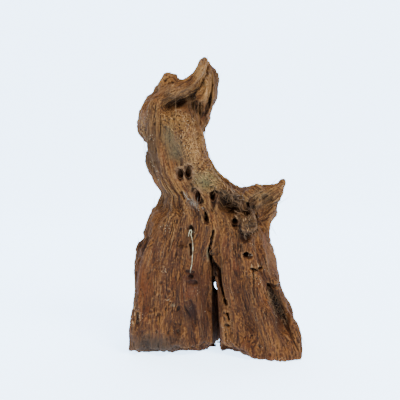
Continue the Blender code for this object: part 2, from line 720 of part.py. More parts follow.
def rootlet_rings(radius, ends):
    """Small round rings along the rootlet's path, with its ends drawn out by some millimetres."""
    path = smooth_through(ROOTLET_PATH, ROOTLET_STEPS)
    first = path[0] + (path[0] - path[1]) / np.linalg.norm(path[0] - path[1]) * ends
    last = path[-1] + (path[-1] - path[-2]) / np.linalg.norm(path[-1] - path[-2]) * ends
    path = np.vstack([first, path[1:-1], last])
    rings = []
    for i, point in enumerate(path):
        tangent = Vector(path[min(i + 1, len(path) - 1)] - path[max(i - 1, 0)]).normalized()
        across = Vector((0, 1, 0)).cross(tangent).normalized()
        deep = tangent.cross(across)
        turns = [2 * math.pi * k / ROOTLET_SIDES for k in range(ROOTLET_SIDES)]
        rings.append([Vector(point) + (across * math.cos(a) + deep * math.sin(a)) * radius for a in turns])
    return rings


def add_rootlet(home, helpers):
    radius = ROOTLET_THICKNESS / 2
    clearance = guide(lofted("rootlet_clearance", rootlet_rings(radius + JOINT_GAP, JOINT_GAP), helpers))
    for name in ("trunk", "left_root"):
        cut(home.objects[name], clearance)
    made = lofted("rootlet", rootlet_rings(radius, 0.0), home)
    made.data.materials.append(material("pale_rootlet", ROOTLET_COLOUR, ROOTLET_ROUGHNESS))


def main():
    clear_scene()
    home = collection("ebony_driftwood")
    helpers = collection("helpers")
    cutters = collection("cutters")
    dense = as_mesh(carve_wood(helpers, cutters), "dense_wood")
    weathered(dense)
    wood = guide(bpy.data.objects.new("weathered_wood", dense))
    helpers.objects.link(wood)
    thin = wood.modifiers.new("thin out", "DECIMATE")
    thin.ratio = WOOD_TRIANGLES / (2 * len(dense.polygons))
    bores = collection("bores")
    for name, stations in BORES.items():
        cut(wood, guide(lofted(name, limb_rings(stations, None, BORE_STEPS, BORE_POINTS), bores)))
    cut(wood, cut_split(helpers))
    cut(wood, box("below_sole", (-FAR, -FAR, -FAR), (FAR, FAR, SOLE), helpers))
    wood_mesh = as_mesh(wood, "wood")
    print("wood:", len(dense.polygons), "faces, thinned to", len(wood_mesh.polygons))
    part_at_forks(wood_mesh, home, helpers)
    add_rootlet(home, helpers)
    for solid in home.objects:
        keep_main_body(solid)


main()
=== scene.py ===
# %% [markdown]
# # A piece of ebony driftwood
# Driftwood is the hard heart of a stump. Water, sand and insects have taken the soft wood away, so what is
# left shows how the tree grew: long ribs that follow the grain, slits between them, bored holes, and spurs
# where branches broke off. The solids of the frame give the big forms. This lesson grows the fine surface on
# them, gives it a dry fibrous finish, and sets it on a pale sweep in soft light.

# %% The frame
import math

import bmesh
import bpy
import numpy as np
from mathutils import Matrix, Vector


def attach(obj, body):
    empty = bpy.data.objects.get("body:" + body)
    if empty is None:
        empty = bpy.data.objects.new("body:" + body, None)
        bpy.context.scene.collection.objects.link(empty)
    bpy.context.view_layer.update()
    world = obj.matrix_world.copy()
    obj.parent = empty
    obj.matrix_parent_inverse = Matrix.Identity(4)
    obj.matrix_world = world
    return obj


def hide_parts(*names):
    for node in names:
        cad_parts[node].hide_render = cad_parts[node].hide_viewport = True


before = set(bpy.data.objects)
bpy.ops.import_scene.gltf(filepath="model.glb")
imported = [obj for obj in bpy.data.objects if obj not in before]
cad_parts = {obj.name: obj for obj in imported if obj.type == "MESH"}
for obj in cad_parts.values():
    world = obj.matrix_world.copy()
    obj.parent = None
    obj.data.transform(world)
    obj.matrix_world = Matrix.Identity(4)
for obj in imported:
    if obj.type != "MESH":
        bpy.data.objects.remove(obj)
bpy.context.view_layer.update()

MM = 0.001
WOOD = ("left_root", "right_root", "trunk", "side_spur", "neck", "crown")
print("solids:", ", ".join(sorted(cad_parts)))

# %% [markdown]
# ## One skin over all the forks
# The wood is one grown piece, and its grain runs on from limb to limb, so the surface has to be worked as one
# skin. A copy of each solid is welded, and its flat ends are moved a little past the forks, so that the copies
# meet there. A voxel remesh then makes one even net of small faces, and smoothing takes the flat facets away.
# The rims of the bored holes and of the big split stay crisp, so they are smoothed less.

# %% Forks, holes and the split
ROOT_FORK = ((0, 0, 102.0), (0, 0, 1))
SPUR_FORK = ((31, 0, 130), (0.80, 0.0, 0.60))
NECK_FORK = ((-20, 0, 152), (-0.32, 0.0, 0.95))
CROWN_FORK = ((-36, 0, 203), (-0.10, 0.34, 0.94))
FORK_GAP = 0.3

# The split between the roots on the front face: height, middle and width. It bends to the right with depth,
# apart from one straight line of sight that lets light through.
SPLIT_FRONT = (
    (-12, 2.5, 7.8), (20, 2.1, 7.2), (53, 0.2, 5.8), (69, -1.7, 3.8), (77, -1.9, 3.4), (90, -5.2, 3.3),
    (96, -6.0, 3.4), (103, -5.1, 2.0), (109, -4.2, 1.4), (118, -2.4, 0.8),
)
SPLIT_CLOSING = 0.5
SPLIT_CLOSING_DEPTHS = (-30, 30)
SPLIT_BEND = 7.0
SPLIT_BEND_DEPTHS = (-8, 18)
SPLIT_WAVE = (1.2, 0.11, 0.04)
SIGHT_LINE = (-45, 68.8, -0.267)
SIGHT_HALF_HEIGHT = 6.5
SIGHT_SHIFT = -0.5


def on_sight_line(y, z):
    """1 on the straight line of sight through the split, 0 away from it."""
    depth, height, fall = SIGHT_LINE
    return np.exp(-(((z - height - fall * (y - depth)) / SIGHT_HALF_HEIGHT) ** 4))


def split_middle(y, z):
    """Where the split lies, left to right, at a depth and a height, in millimetres."""
    table = np.array(SPLIT_FRONT)
    front = np.interp(z, table[:, 0], table[:, 1])
    on_sight = on_sight_line(y, z)
    inward = np.interp(y, SPLIT_BEND_DEPTHS, (0, 1))
    wave_height, depth_rate, height_rate = SPLIT_WAVE
    wave = wave_height * np.sin(depth_rate * y + height_rate * z)
    return front + (SPLIT_BEND * inward + wave) * (1 - on_sight) + SIGHT_SHIFT * inward * on_sight


# %% Mesh helpers
def placed(name, data):
    """A new object in the scene, at the origin."""
    obj = bpy.data.objects.new(name, data)
    bpy.context.scene.collection.objects.link(obj)
    return obj


def settled(obj):
    """The object's mesh with its modifiers worked in. The object itself goes."""
    graph = bpy.context.evaluated_depsgraph_get()
    mesh = bpy.data.meshes.new_from_object(obj.evaluated_get(graph), depsgraph=graph)
    bpy.data.objects.remove(obj)
    return mesh


def opened(*meshes):
    """One editable mesh that holds all the meshes."""
    bm = bmesh.new()
    for mesh in meshes:
        bm.from_mesh(mesh)
    return bm


def closed(bm, name):
    """A mesh from an editable one, which goes."""
    mesh = bpy.data.meshes.new(name)
    bm.to_mesh(mesh)
    bm.free()
    return mesh


def cut_out(mesh, tool_mesh, voxel=None):
    """A closed mesh less another one. Where a voxel size is given, it's made an even net first."""
    held, tool = placed("held", mesh), placed("tool", tool_mesh)
    if voxel:
        even = held.modifiers.new("even net", "REMESH")
        even.mode, even.voxel_size = "VOXEL", voxel
    step = held.modifiers.new("cut", "BOOLEAN")
    step.operation, step.solver, step.object = "DIFFERENCE", "MANIFOLD", tool
    made = settled(held)
    bpy.data.objects.remove(tool)
    return made


def rows_of(items, key, width, kind=np.float32):
    """A property of all points, edges or values, one row for each."""
    flat = np.empty(len(items) * width, kind)
    items.foreach_get(key, flat)
    return flat.reshape(-1, width)


def points_of(mesh):
    return rows_of(mesh.vertices, "co", 3).astype(np.float64)


def normals_of(mesh):
    return rows_of(mesh.vertex_normals, "vector", 3).astype(np.float64)


def edges_of(mesh):
    return rows_of(mesh.edges, "vertices", 2, np.int32)


def move_to(mesh, points):
    mesh.vertices.foreach_set("co", points.astype(np.float32).ravel())
    mesh.update()


def relaxed(values, edges, rounds):
    """Values of points, each drawn half way towards the mean of its neighbours in every round."""
    a, b = edges[:, 0], edges[:, 1]
    count = len(values)
    degree = np.bincount(a, minlength=count) + np.bincount(b, minlength=count)
    columns = [values[:, k] for k in range(values.shape[1])]
    for _ in range(rounds):
        sums = [np.bincount(a, c[b], count) + np.bincount(b, c[a], count) for c in columns]
        columns = [0.5 * (c + s / degree) for c, s in zip(columns, sums)]
    return np.stack(columns, axis=1)


def bodies_of(bm):
    """The points of a mesh in groups that hang together."""
    left = set(bm.verts)
    while left:
        body, front = set(), [left.pop()]
        while front:
            vert = front.pop()
            body.add(vert)
            near = [edge.other_vert(vert) for edge in vert.link_edges]
            front += [other for other in near if other in left]
            left.difference_update(near)
        yield body


# %% One even net
SKIN_VOXEL = 0.75 * MM
FACET_ROUNDS = 40
RIM_ROUNDS = 5

# How near to a fork, in millimetres, a flat end lies, and how far past it that end is moved, in gaps.
END_NEAR = 0.02
END_MOVE = 0.9
# Where the split stays open along the line of sight: middle in front and at the back, half width and height.
OPENING = ((-1.1, -36, 66.0), (0.3, 62, 39.9), 0.85, 4.3)


def meeting_copy(node):
    """A welded copy of a solid, whose flat ends are moved past the forks, so that it meets its neighbour."""
    solid = opened(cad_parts[node].data)
    bmesh.ops.remove_doubles(solid, verts=solid.verts, dist=1e-6)
    for place, normal in (ROOT_FORK, SPUR_FORK, NECK_FORK, CROWN_FORK):
        normal = Vector(normal).normalized()
        for vert in solid.verts:
            beyond = (vert.co / MM - Vector(place)).dot(normal)
            if abs(abs(beyond) - FORK_GAP / 2) < END_NEAR:
                vert.co -= normal * math.copysign(END_MOVE * FORK_GAP * MM, beyond)
    return closed(solid, node + "_meeting")


def kept_open(front, back, across, up):
    """A box along an opening, to be cut out of the net."""
    bm = bmesh.new()
    for x, y, z in (front, back):
        for i, j in ((-1, -1), (-1, 1), (1, -1), (1, 1)):
            bm.verts.new(Vector((x + i * across, y, z + j * up)) * MM)
    bmesh.ops.convex_hull(bm, input=bm.verts[:])
    bmesh.ops.recalc_face_normals(bm, faces=bm.faces[:])
    return closed(bm, "kept_open")


solids = closed(opened(*[meeting_copy(node) for node in WOOD]), "solids")
net = opened(cut_out(solids, kept_open(*OPENING), SKIN_VOXEL))
chips = sorted(bodies_of(net), key=len)[:-1]
for chip in chips:
    bmesh.ops.delete(net, geom=list(chip), context="VERTS")
skin = closed(net, "skin")
print("chips dropped:", len(chips))

# %% [markdown]
# Each crisp place is a line drawn on the front face, with a half width at each of its points.

# %% Smoothing
# Each row is x, z and half width in millimetres.
CRISP = {
    "twin holes": ((-32.6, 168, 4.5), (-31.5, 161.5, 4.5), (-24, 162, 4.5), (-23.8, 172, 4.5)),
    "hole under the twins": ((-18.4, 150, 4), (-14, 141, 4)),
    "hole right of it": ((-0.6, 147, 4), (-1.6, 141, 3.5), (-3, 133, 2)),
    "slot": ((-8.5, 131, 2.5), (-7.6, 123, 2.5)),
    "round hole": ((17.4, 125, 4), (17.4, 120, 4)),
    "rootlet hole": ((-21.5, 119, 3), (-21.2, 110, 3)),
    "pit c": ((26, 94, 3.5), (30.5, 93.5, 3.5)),
    "notch": ((33, 82, 3), (40, 81, 3)),
    "strand pit": ((-24.5, 78, 3), (-20, 77, 3)),
    "second split": ((0.6, 82, 2), (4.2, 76, 2.5), (5.6, 63, 2), (9, 52, 2), (11.4, 31, 2)),
    "split": ((2.5, -12, 5.5), (2, 20, 5.5), (0.2, 53, 5), (-1.7, 69, 4), (-1.9, 77, 3.5), (-5.2, 90, 3.5),
              (-6, 96, 3), (-5, 103, 2.5), (-3.4, 109, 2.5), (-1.8, 116, 2)),
    "plate groove": ((-4, 258, 3), (-3.1, 246, 3), (-4.8, 229, 3), (-9, 216, 3)),
}


# How far the crisp belt reaches, as a share of the mark's half width and fade. Then, in millimetres, the fade
# beside a mark and beside the split, and how far behind the front the belt takes to fade in.
CRISP_EDGE = 1.6
CRISP_FADE = 1.5
SPLIT_CRISP_FADE = 5
CRISP_DEPTH = 8


def along_line(x, z, rows):
    """Distance of each point from a drawn line, and the line's further values at the nearest place."""
    rows = np.array(rows, float)
    best = np.full(len(x), np.inf)
    values = np.zeros((len(x), rows.shape[1] - 2))
    for start, end in zip(rows, rows[1:]):
        span = end[:2] - start[:2]
        share = np.clip(((x - start[0]) * span[0] + (z - start[1]) * span[1]) / (span @ span), 0, 1)
        distance = np.hypot(x - start[0] - share * span[0], z - start[1] - share * span[1])
        nearer = distance < best
        best[nearer] = distance[nearer]
        values[nearer] = (start[2:] + share[:, None] * (end[2:] - start[2:]))[nearer]
    return best, values.T


def crispness(points):
    """1 at the rims that stay crisp, on the front and along the line of sight, and 0 well away from them."""
    x, y, z = (points / MM).T
    crisp = np.zeros(len(points))
    for rows in CRISP.values():
        distance, (width,) = along_line(x, z, rows)
        crisp = np.maximum(crisp, np.clip(CRISP_EDGE - distance / (width + CRISP_FADE), 0, 1))
    beside = np.clip(CRISP_EDGE - np.abs(x - split_middle(y, z)) / SPLIT_CRISP_FADE, 0, 1)
    return np.maximum(crisp * np.clip((0 - y) / CRISP_DEPTH, 0, 1), beside * on_sight_line(y, z) ** 0.2)


edges = edges_of(skin)
faceted = points_of(skin)
light = relaxed(faceted, edges, RIM_ROUNDS)
heavy = relaxed(faceted, edges, FACET_ROUNDS)
heavy += relaxed(faceted - heavy, edges, FACET_ROUNDS)
crisp = crispness(faceted)[:, None]
move_to(skin, heavy * (1 - crisp) + light * crisp)
print("skin:", len(skin.vertices), "points")

# %% [markdown]
# ## The run of the grain
# Fibres, slits and stains all follow the grain, so every point of the skin needs grain coordinates: two across
# the fibres and one along them. In the trunk the grain climbs from the spread roots into the narrow neck, and
# it is told by how far out a point lies at its height. In the spur and in the hooked hood it follows a line
# through the limb. Each point takes the limb that it lies nearest to. Where two limbs meet, the pattern is
# calmed, so that no break shows.

# %% Grain coordinates
# Height, middle and half width of the column of roots, trunk and neck, in millimetres.
COLUMN = (
    (0, 0, 80), (20, -1, 77), (50, -5, 69), (75, -8, 64), (97, -8, 58), (112, -6, 54), (130, -7, 46),
    (145, -14, 38), (154, -22, 34), (165, -29, 31), (190, -36, 27), (215, -37, 23), (245, -36, 20),
)
COLUMN_REFERENCE = 50.0
# Lines through the limbs, x, y, z, and how far each limb reaches from its line.
HOOD_LINE = (
    (-61, 8, 186, 7), (-65, 6, 203, 12), (-56, -4, 223, 18), (-38.5, -9, 237, 20), (-21.5, -10, 245, 15),
    (-11.3, -7, 260.5, 9), (-8, -6, 272, 6),
)
LOBE_LINE = ((-14, 4, 200, 9), (-7, 7, 222, 11), (-3, 8, 240, 10), (-4, 7, 262, 7))
SPUR_LINE = ((22, -5, 121, 22), (40, -6, 137, 20), (54.5, -6, 148, 12), (66, -6, 160, 7))
CALM_REACH = 0.09
LIMB_SHIFT = 300.0


def beside_line(points, line, refine=8):
    """Across, deep and along beside a line through a limb, the distance as a share of its reach, the way."""
    rows = np.array(line, float)
    steps = np.linspace(0, len(rows) - 1, (len(rows) - 1) * refine + 1)
    path = np.stack([np.interp(steps, np.arange(len(rows)), rows[:, k]) for k in range(4)], axis=1)
    run = np.concatenate([[0], np.cumsum(np.linalg.norm(np.diff(path[:, :3], axis=0), axis=1))])
    best = np.full(len(points), np.inf)
    found = np.zeros((len(points), 7))
    for i in range(len(path) - 1):
        start, span = path[i, :3], path[i + 1, :3] - path[i, :3]
        length = np.linalg.norm(span)
        share = np.clip((points - start) @ span / length**2, 0, 1)
        offset = points - start - share[:, None] * span
        distance = np.linalg.norm(offset, axis=1)
        nearer = distance < best
        best[nearer] = distance[nearer]
        across = np.cross((0, 1, 0), span / length)
        reach = path[i, 3] + share * (path[i + 1, 3] - path[i, 3])
        columns = [offset @ across, offset[:, 1], run[i] + share * length, distance / reach]
        values = np.stack(columns + [np.full(len(points), part) for part in span / length], axis=1)
        found[nearer] = values[nearer]
    return found[:, :3], found[:, 3], found[:, 4:]


def in_column(points):
    """Grain coordinates in the column of roots, trunk and neck, and the way that the grain runs there."""
    table = np.array(COLUMN, float)

    def middle_and_share(z):
        middle, half = (np.interp(z, table[:, 0], table[:, k]) for k in (1, 2))
        return middle, COLUMN_REFERENCE / half

    x, y, z = points.T
    middle, share = middle_and_share(z)
    across = (x - middle) * share
    upper_middle, upper_share = middle_and_share(z + 1.0)
    drift = upper_middle + across / upper_share - x
    return np.stack([across, y, z], axis=1), np.stack([drift, np.zeros(len(x)), np.ones(len(x))], axis=1)


def grain_of(points):
    """Grain coordinates in millimetres, how calm the pattern is kept, and the way of the grain."""
    column, way = in_column(points)
    maps, ways, claims = [column], [way], [np.full(len(points), 1.0)]
    for number, line in enumerate((HOOD_LINE, LOBE_LINE, SPUR_LINE), start=1):
        coordinates, share, way = beside_line(points, line)
        maps.append(coordinates + LIMB_SHIFT * number)
        ways.append(way)
        claims.append(share)
    claims = np.stack(claims, axis=1)
    order = np.argsort(claims, axis=1)
    rows = np.arange(len(points))
    limb = order[:, 0]
    lead = claims[rows, order[:, 1]] - claims[rows, limb]
    calm = np.clip(lead / CALM_REACH, 0, 1)
    calm = calm * calm * (3 - 2 * calm)
    return np.stack(maps, axis=1)[rows, limb], calm, np.stack(ways, axis=1)[rows, limb]


# %% [markdown]
# ## Marks that the photograph shows
# Some hollows belong to this piece of wood and to no other: the second split beside the big one, the dark scar
# on the left root, the bored holes. Each is a line drawn on the front, with a half width and a depth at each of
# its points. The skin is pressed in along it, or drawn out where the depth is negative. Grooves have round
# sides and holes have steep ones.

# %% Drawn marks
# Each row is x, z, half width and depth in millimetres.
GROOVES = {
    "crevice of the prong": ((-6.5, 259, 1.0, 2.0), (-8.5, 252, 1.4, 3.5), (-11.5, 246, 1.6, 4.0),
                             (-15.5, 239.3, 1.7, 4.0), (-19.6, 234.3, 1.8, 3.0), (-24, 231, 2.0, 2.0)),
    "groove behind the plate": ((-4.0, 256, 0.9, 3.0), (-3.1, 246, 1.3, 5.0), (-3.5, 237, 1.4, 5.5),
                                (-4.8, 229, 1.6, 5.5), (-7.5, 222, 1.8, 4.5), (-9.5, 216, 1.6, 3.0)),
    "second hollow": ((-18, 222, 3.0, 2.0), (-12, 216, 4.0, 3.5), (-8, 209, 3.0, 2.5)),
    "flap of the neck": ((-68.5, 208, 1.5, 1.2), (-67.0, 198, 1.8, 2.6), (-64.5, 189, 1.4, 2.0)),
    "hollow under the knob": ((22, 115.5, 2.6, 2.5), (28, 113.5, 4.0, 5.0), (35, 115, 3.2, 4.0)),
    "crevice over the knob": ((28.5, 139, 1.6, 5.0), (30.0, 134.5, 2.0, 8.0), (34.5, 133, 2.0, 7.0),
                              (37.5, 127, 1.5, 4.5), (38, 120, 1.2, 2.5)),
    "slit beside the knob": ((21.5, 126, 1.2, 2.5), (22.0, 118, 1.3, 2.5), (24, 113, 1.2, 2.0)),
    "left flank step": ((-61, 108, 1.2, 2.5), (-63.5, 101, 1.4, 3.0), (-67, 93, 1.2, 2.0)),
}
HOLES = {
    "left twin hole": ((-32.8, 167.6, 4.4, 5), (-31.8, 162.0, 4.2, 5)),
    "right twin hole": ((-24.0, 171.0, 4.6, 5), (-24.2, 163.0, 4.4, 5)),
    "hole under the twins": ((-19.0, 150.5, 3.6, 6), (-14.2, 141.5, 4.2, 7)),
    "hole right of it": ((-0.4, 148, 3.6, 6), (-1.6, 141, 3.2, 6), (-3.2, 133, 1.4, 3)),
    "slot": ((-8.6, 131, 1.5, 4), (-7.6, 123.5, 1.7, 5)),
    "round hole": ((17.4, 123, 3.1, 6), (17.4, 120.5, 3.1, 6)),
    "rootlet hole": ((-21.6, 118, 2.6, 4), (-21.2, 111, 2.3, 3)),
    "slit left of the rootlet": ((-22.4, 104, 1.3, 3.5), (-22.0, 95, 1.3, 3.5)),
    "first pit": ((-25.2, 79.5, 1.9, 3.0), (-20.4, 78, 2.1, 3.5)),
    "second pit": ((-22.5, 70, 2.8, 2.5), (-18.2, 69, 2.6, 3.5)),
    "slit left of the flakes": ((-30.5, 149, 1.3, 3.5), (-28.0, 144, 1.3, 3.0)),
    "scar": ((-23.6, 50, 4.2, 2.2), (-22.8, 45, 5.0, 2.6), (-20.4, 38.5, 4.0, 2.6), (-19.2, 33, 2.4, 2.2),
             (-18.4, 28.5, 1.2, 1.4)),
    "edge of the scar": ((-28, 52, 0.8, 2), (-27.2, 45, 0.8, 2.4), (-23.5, 38, 0.8, 2.4),
                         (-20.8, 30, 0.7, 1.8)),
    "groove of the right root": ((47.4, 64, 2.8, 4), (51.5, 54, 4.2, 6), (57, 43.5, 4.6, 6), (61.5, 35, 4, 5),
                                 (64.7, 28, 2.6, 3.5), (69, 20.5, 1.4, 2)),
    "second lip of the groove": ((62, 26, 0.8, 1.5), (70, 17, 0.9, 1.8), (74.5, 9, 0.8, 1.4)),
    "upper slot of the left edge": ((-71.5, 75, 1.2, 2.5), (-71.8, 66, 1.2, 2.5)),
    "pit with grains": ((26.0, 94.2, 2.2, 3.0), (30.5, 93.5, 2.6, 3.5)),
    "notch": ((32.0, 82.4, 1.3, 3.5), (36.5, 80.6, 1.5, 4.5), (41.0, 82.0, 1.3, 3.5)),
    "crack down from the notch": ((33.3, 81, 1.1, 3.0), (33.8, 68, 0.9, 2.4), (34.1, 52, 0.5, 1.2)),
    "second split": ((-3.2, 88, 1.0, 3), (-0.6, 82.5, 1.8, 6), (3.6, 77.4, 2.2, 7), (4.6, 70, 1.5, 6),
                     (5.8, 62, 1.2, 5), (7.6, 55.5, 1.2, 4)),
    "first pit of the second split": ((9.0, 51.5, 1.9, 5.5), (10.0, 48, 1.6, 4.5)),
    "second pit of the second split": ((10.8, 40, 1.6, 4.5), (12.0, 34.5, 1.8, 4.5)),
    "third pit of the second split": ((9.6, 29.0, 2.0, 4.5), (12.0, 28.4, 1.8, 4.0)),
    "tail of the second split": ((9.4, 21, 0.9, 2.0), (10.4, 13, 0.7, 1.6)),
    "head of the split": ((-1.8, 115.5, 1.4, 3), (-3.4, 109, 1.6, 4), (-4.2, 103, 1.3, 4),
                          (-5.8, 96.5, 1.5, 4)),
    "tick": ((-56.2, 53, 0.9, 2), (-56.3, 46.5, 0.8, 2)),
    "left edge slot": ((-70.3, 40, 1.3, 3), (-70.4, 30.5, 1.2, 3)),
    "notch of the outer ridge": ((47.6, 65.7, 2.6, 4), (53, 65, 1.8, 3), (58.5, 65.4, 1.4, 2.5)),
    "hole of the bump": ((-45.0, 247, 1.5, 2.5), (-44.0, 248, 1.4, 2.0)),
    "prick of the bump": ((-41.5, 250.5, 1.0, 1.5), (-41, 251, 1.0, 1.5)),
}
HOLE_STEEPNESS = 1.5
WOBBLE = 0.12
# Middle x, y, z, reach and height in millimetres of places where the wood stands out, or steps back.
SWELLS = {
    "top of the bump": (-42.5, -2, 253, 7, 1.8),
    "left of the hood": (-54.5, -6, 242, 10, 1.8),
    "left of the crown": (-63, -4, 229, 9, 1.2),
    "back of the rear lobe": (5, 8, 248, 7, 1.8),
    "foot of the rear lobe": (4, 6, 224, 9, -2.2),
    "notch of the crown tip": (-1, -2, 263.5, 3.0, -3.2),
    "top of the rear lobe": (1, 6, 257, 3, 1.2),
    "first bump right of the neck": (-0.5, -8, 174, 5, 2.2),
    "second bump right of the neck": (12.5, -8, 160, 5, 1.6),
    "waist left of the neck": (-62, -6, 150, 9, 1.6),
    "top of the spur": (60, -6, 158, 5, 1.4),
    "right of the trunk": (49, -6, 124, 9, 1.5),
    "right flank": (56, -6, 82, 15, 1.8),
    "right flank under the notch": (69, -8, 42, 12, 1.4),
    "right toe": (78, -20, 5, 7, -1.8),
    "left step": (-70.5, -6, 98, 6, -2.2),
    "over the left step": (-64.5, -6, 110, 7, 2.2),
    "left flank": (-74, -6, 76, 14, 1.3),
    "left foot": (-80, -8, 12, 14, -0.9),
    "top of the knob": (32.5, -46, 128, 4.0, 2.6),
    "left of the knob": (26.5, -46, 124, 3.5, 1.4),
    "foot of the knob": (31, -46, 119, 4, 1.2),
}
SWELL_DEPTH_SHARE = 0.4
SWELL_FALL = 1.5
GROOVE_SOFTNESS = 1.5
PRESSED_ROUNDS = 2


def depth_of(points, marks, steepness, softness):
    """The depth in millimetres that all the marks together give each point."""
    x, y, z = (points / MM).T
    total = np.zeros(len(points))
    for rows in marks.values():
        distance, (width, depth) = along_line(x, z, rows)
        uneven = 1 + WOBBLE * np.sin(z * 0.9 + x * 1.7)
        share = np.clip(steepness * (1 - (distance / (width * uneven + 1e-6)) ** 2), 0, 1)
        total += depth * share**softness
    return total


def swelled(points, normals):
    """Points moved along the skin's own direction by the swells, which reach further in depth than across."""
    stretch = np.array((1, SWELL_DEPTH_SHARE, 1))
    height = np.zeros(len(points))
    for x, y, z, reach, rise in SWELLS.values():
        away = np.linalg.norm((points / MM - (x, y, z)) * stretch, axis=1) / reach
        height += rise * np.exp(-(away**2) * SWELL_FALL)
    return points + normals * height[:, None] * MM


def pressed_in(points, normals):
    """Points moved straight in from the front by the marks, where the skin faces the front."""
    facing = np.clip((-normals[:, 1] - 0.1) / 0.3, 0, 1)
    depth = depth_of(points, GROOVES, 1.0, GROOVE_SOFTNESS) + depth_of(points, HOLES, HOLE_STEEPNESS, 1.0)
    moved = points.copy()
    moved[:, 1] += depth * facing * MM
    return moved


points = points_of(skin)
normals = normals_of(skin)
move_to(skin, relaxed(pressed_in(swelled(points, normals), normals), edges, PRESSED_ROUNDS))
print("marks:", len(GROOVES) + len(HOLES), "swells:", len(SWELLS))

# %% [markdown]
# ## Weathering the surface
# Weathered heartwood is a mass of fibres of unequal strength. The weak ones go first, which leaves flutes some
# millimetres wide, slits between bundles of fibres, ledges where a layer flaked off, and pits where knots or
# borers were. All of these repeat over the whole surface and differ only in size, so one Geometry Nodes tree
# makes them, with each size as a named input in millimetres.

# %% A small helper for node trees
def add(tree, kind, links=(), out=0):
    """Adds a node with its settings, fills its inputs with values or outputs, and returns an output of it."""
    name, settings = kind if isinstance(kind, tuple) else (kind, {})
    node = tree.nodes.new(name)
    for key, value in settings.items():
        setattr(node, key, value)
    for key, value in links.items() if isinstance(links, dict) else enumerate(links):
        if isinstance(value, bpy.types.NodeSocket):
            tree.links.new(value, node.inputs[key])
        elif str(value).startswith("#"):
            node.inputs[key].default_value = (*linear(value), 1.0)
        else:
            node.inputs[key].default_value = value
    return node.outputs if out is None else node.outputs[out]


# Nodes that are used again and again, with their settings.
PLUS = ("ShaderNodeMath", {"operation": "ADD"})
MINUS = ("ShaderNodeMath", {"operation": "SUBTRACT"})
MINUS_CLAMPED = ("ShaderNodeMath", {"operation": "SUBTRACT", "use_clamp": True})
TIMES = ("ShaderNodeMath", {"operation": "MULTIPLY"})
TIMES_PLUS = ("ShaderNodeMath", {"operation": "MULTIPLY_ADD"})
TIMES_PLUS_CLAMPED = ("ShaderNodeMath", {"operation": "MULTIPLY_ADD", "use_clamp": True})
OVER = ("ShaderNodeMath", {"operation": "DIVIDE"})
LESS = ("ShaderNodeMath", {"operation": "LESS_THAN"})
WHOLE_PART = ("ShaderNodeMath", {"operation": "FLOOR"})
VECTOR_OVER = ("ShaderNodeVectorMath", {"operation": "DIVIDE"})
VECTOR_MINUS = ("ShaderNodeVectorMath", {"operation": "SUBTRACT"})
VECTOR_TIMES = ("ShaderNodeVectorMath", {"operation": "SCALE"})
# Its inputs are a value, from where, to where, and what those two become: 0 and 1 unless told.
RAMP = ("ShaderNodeMapRange", {"clamp": True, "interpolation_type": "SMOOTHSTEP"})
CARRIED_NUMBER = ("GeometryNodeInputNamedAttribute", {"data_type": "FLOAT"})
CARRIED_VECTOR = ("GeometryNodeInputNamedAttribute", {"data_type": "FLOAT_VECTOR"})


def stretched(tree, vector, width, length):
    """A vector divided by a width across and a length along the fibres."""
    return add(tree, VECTOR_OVER, (vector, add(tree, "ShaderNodeCombineXYZ", (width, width, length))))


def streaks(tree, vector, width, length, detail, distortion=0.0):
    """Noise from -1 to 1 with a width across and a length along the fibres."""
    links = {"Vector": stretched(tree, vector, width, length), "Scale": 1.0, "Detail": detail,
             "Roughness": 0.55, "Distortion": distortion}
    return add(tree, TIMES_PLUS, (add(tree, "ShaderNodeTexNoise", links), 2.0, -1.0))


def dots(tree, vector, width, length, inner, outer):
    """1 in the middle of each scattered dot, 0 round it."""
    links = {"Vector": stretched(tree, vector, width, length), "Scale": 1.0, "Randomness": 1.0}
    nearest = add(tree, ("ShaderNodeTexVoronoi", {"feature": "F1"}), links, "Distance")
    return add(tree, RAMP, (nearest, inner, outer, 1.0, 0.0))


def geometry_tree(name, sizes, others=()):
    """A geometry tree with one named number input for each size, and the outputs that they come in by."""
    tree = bpy.data.node_groups.new(name, "GeometryNodeTree")
    for key, kind in (("Geometry", "Geometry"), *((key, "Float") for key in sizes), *others):
        socket = tree.interface.new_socket(key, in_out="INPUT", socket_type="NodeSocket" + kind)
        if key in sizes:
            socket.default_value = sizes[key]
    tree.interface.new_socket("Geometry", in_out="OUTPUT", socket_type="NodeSocketGeometry")
    return tree, add(tree, "NodeGroupInput", (), None)


# %% The weathering tree
WEATHER_SIZES = {
    "Flute width": 6.5,
    "Flute length": 75.0,
    "Flute depth": 1.6,
    "Fibre width": 1.5,
    "Fibre length": 40.0,
    "Fibre depth": 0.75,
    "Slit width": 1.15,
    "Slit length": 26.0,
    "Slit depth": 1.3,
    "Pit spacing": 5.5,
    "Pit depth": 1.3,
    "Ledge width": 10.0,
    "Ledge length": 34.0,
    "Ledge height": 0.55,
    "Crumb size": 2.1,
    "Crumb height": 0.5,
    "Knob size": 3.4,
    "Knob height": 2.8,
    "Pore spacing": 3.0,
    "Pore depth": 1.0,
}
# Where a pore and a pit begin and end, as shares of their spacing.
PORE_RIM = (0.12, 0.36)
PIT_RIM = (0.10, 0.34)
PIT_STRETCH = 1.7
LEDGE_STEPS = 5.0
# Width and length of the patches in which slits and pits gather.
SLIT_PATCH = (17.0, 40.0)
PIT_PATCH = (22.0, 34.0)


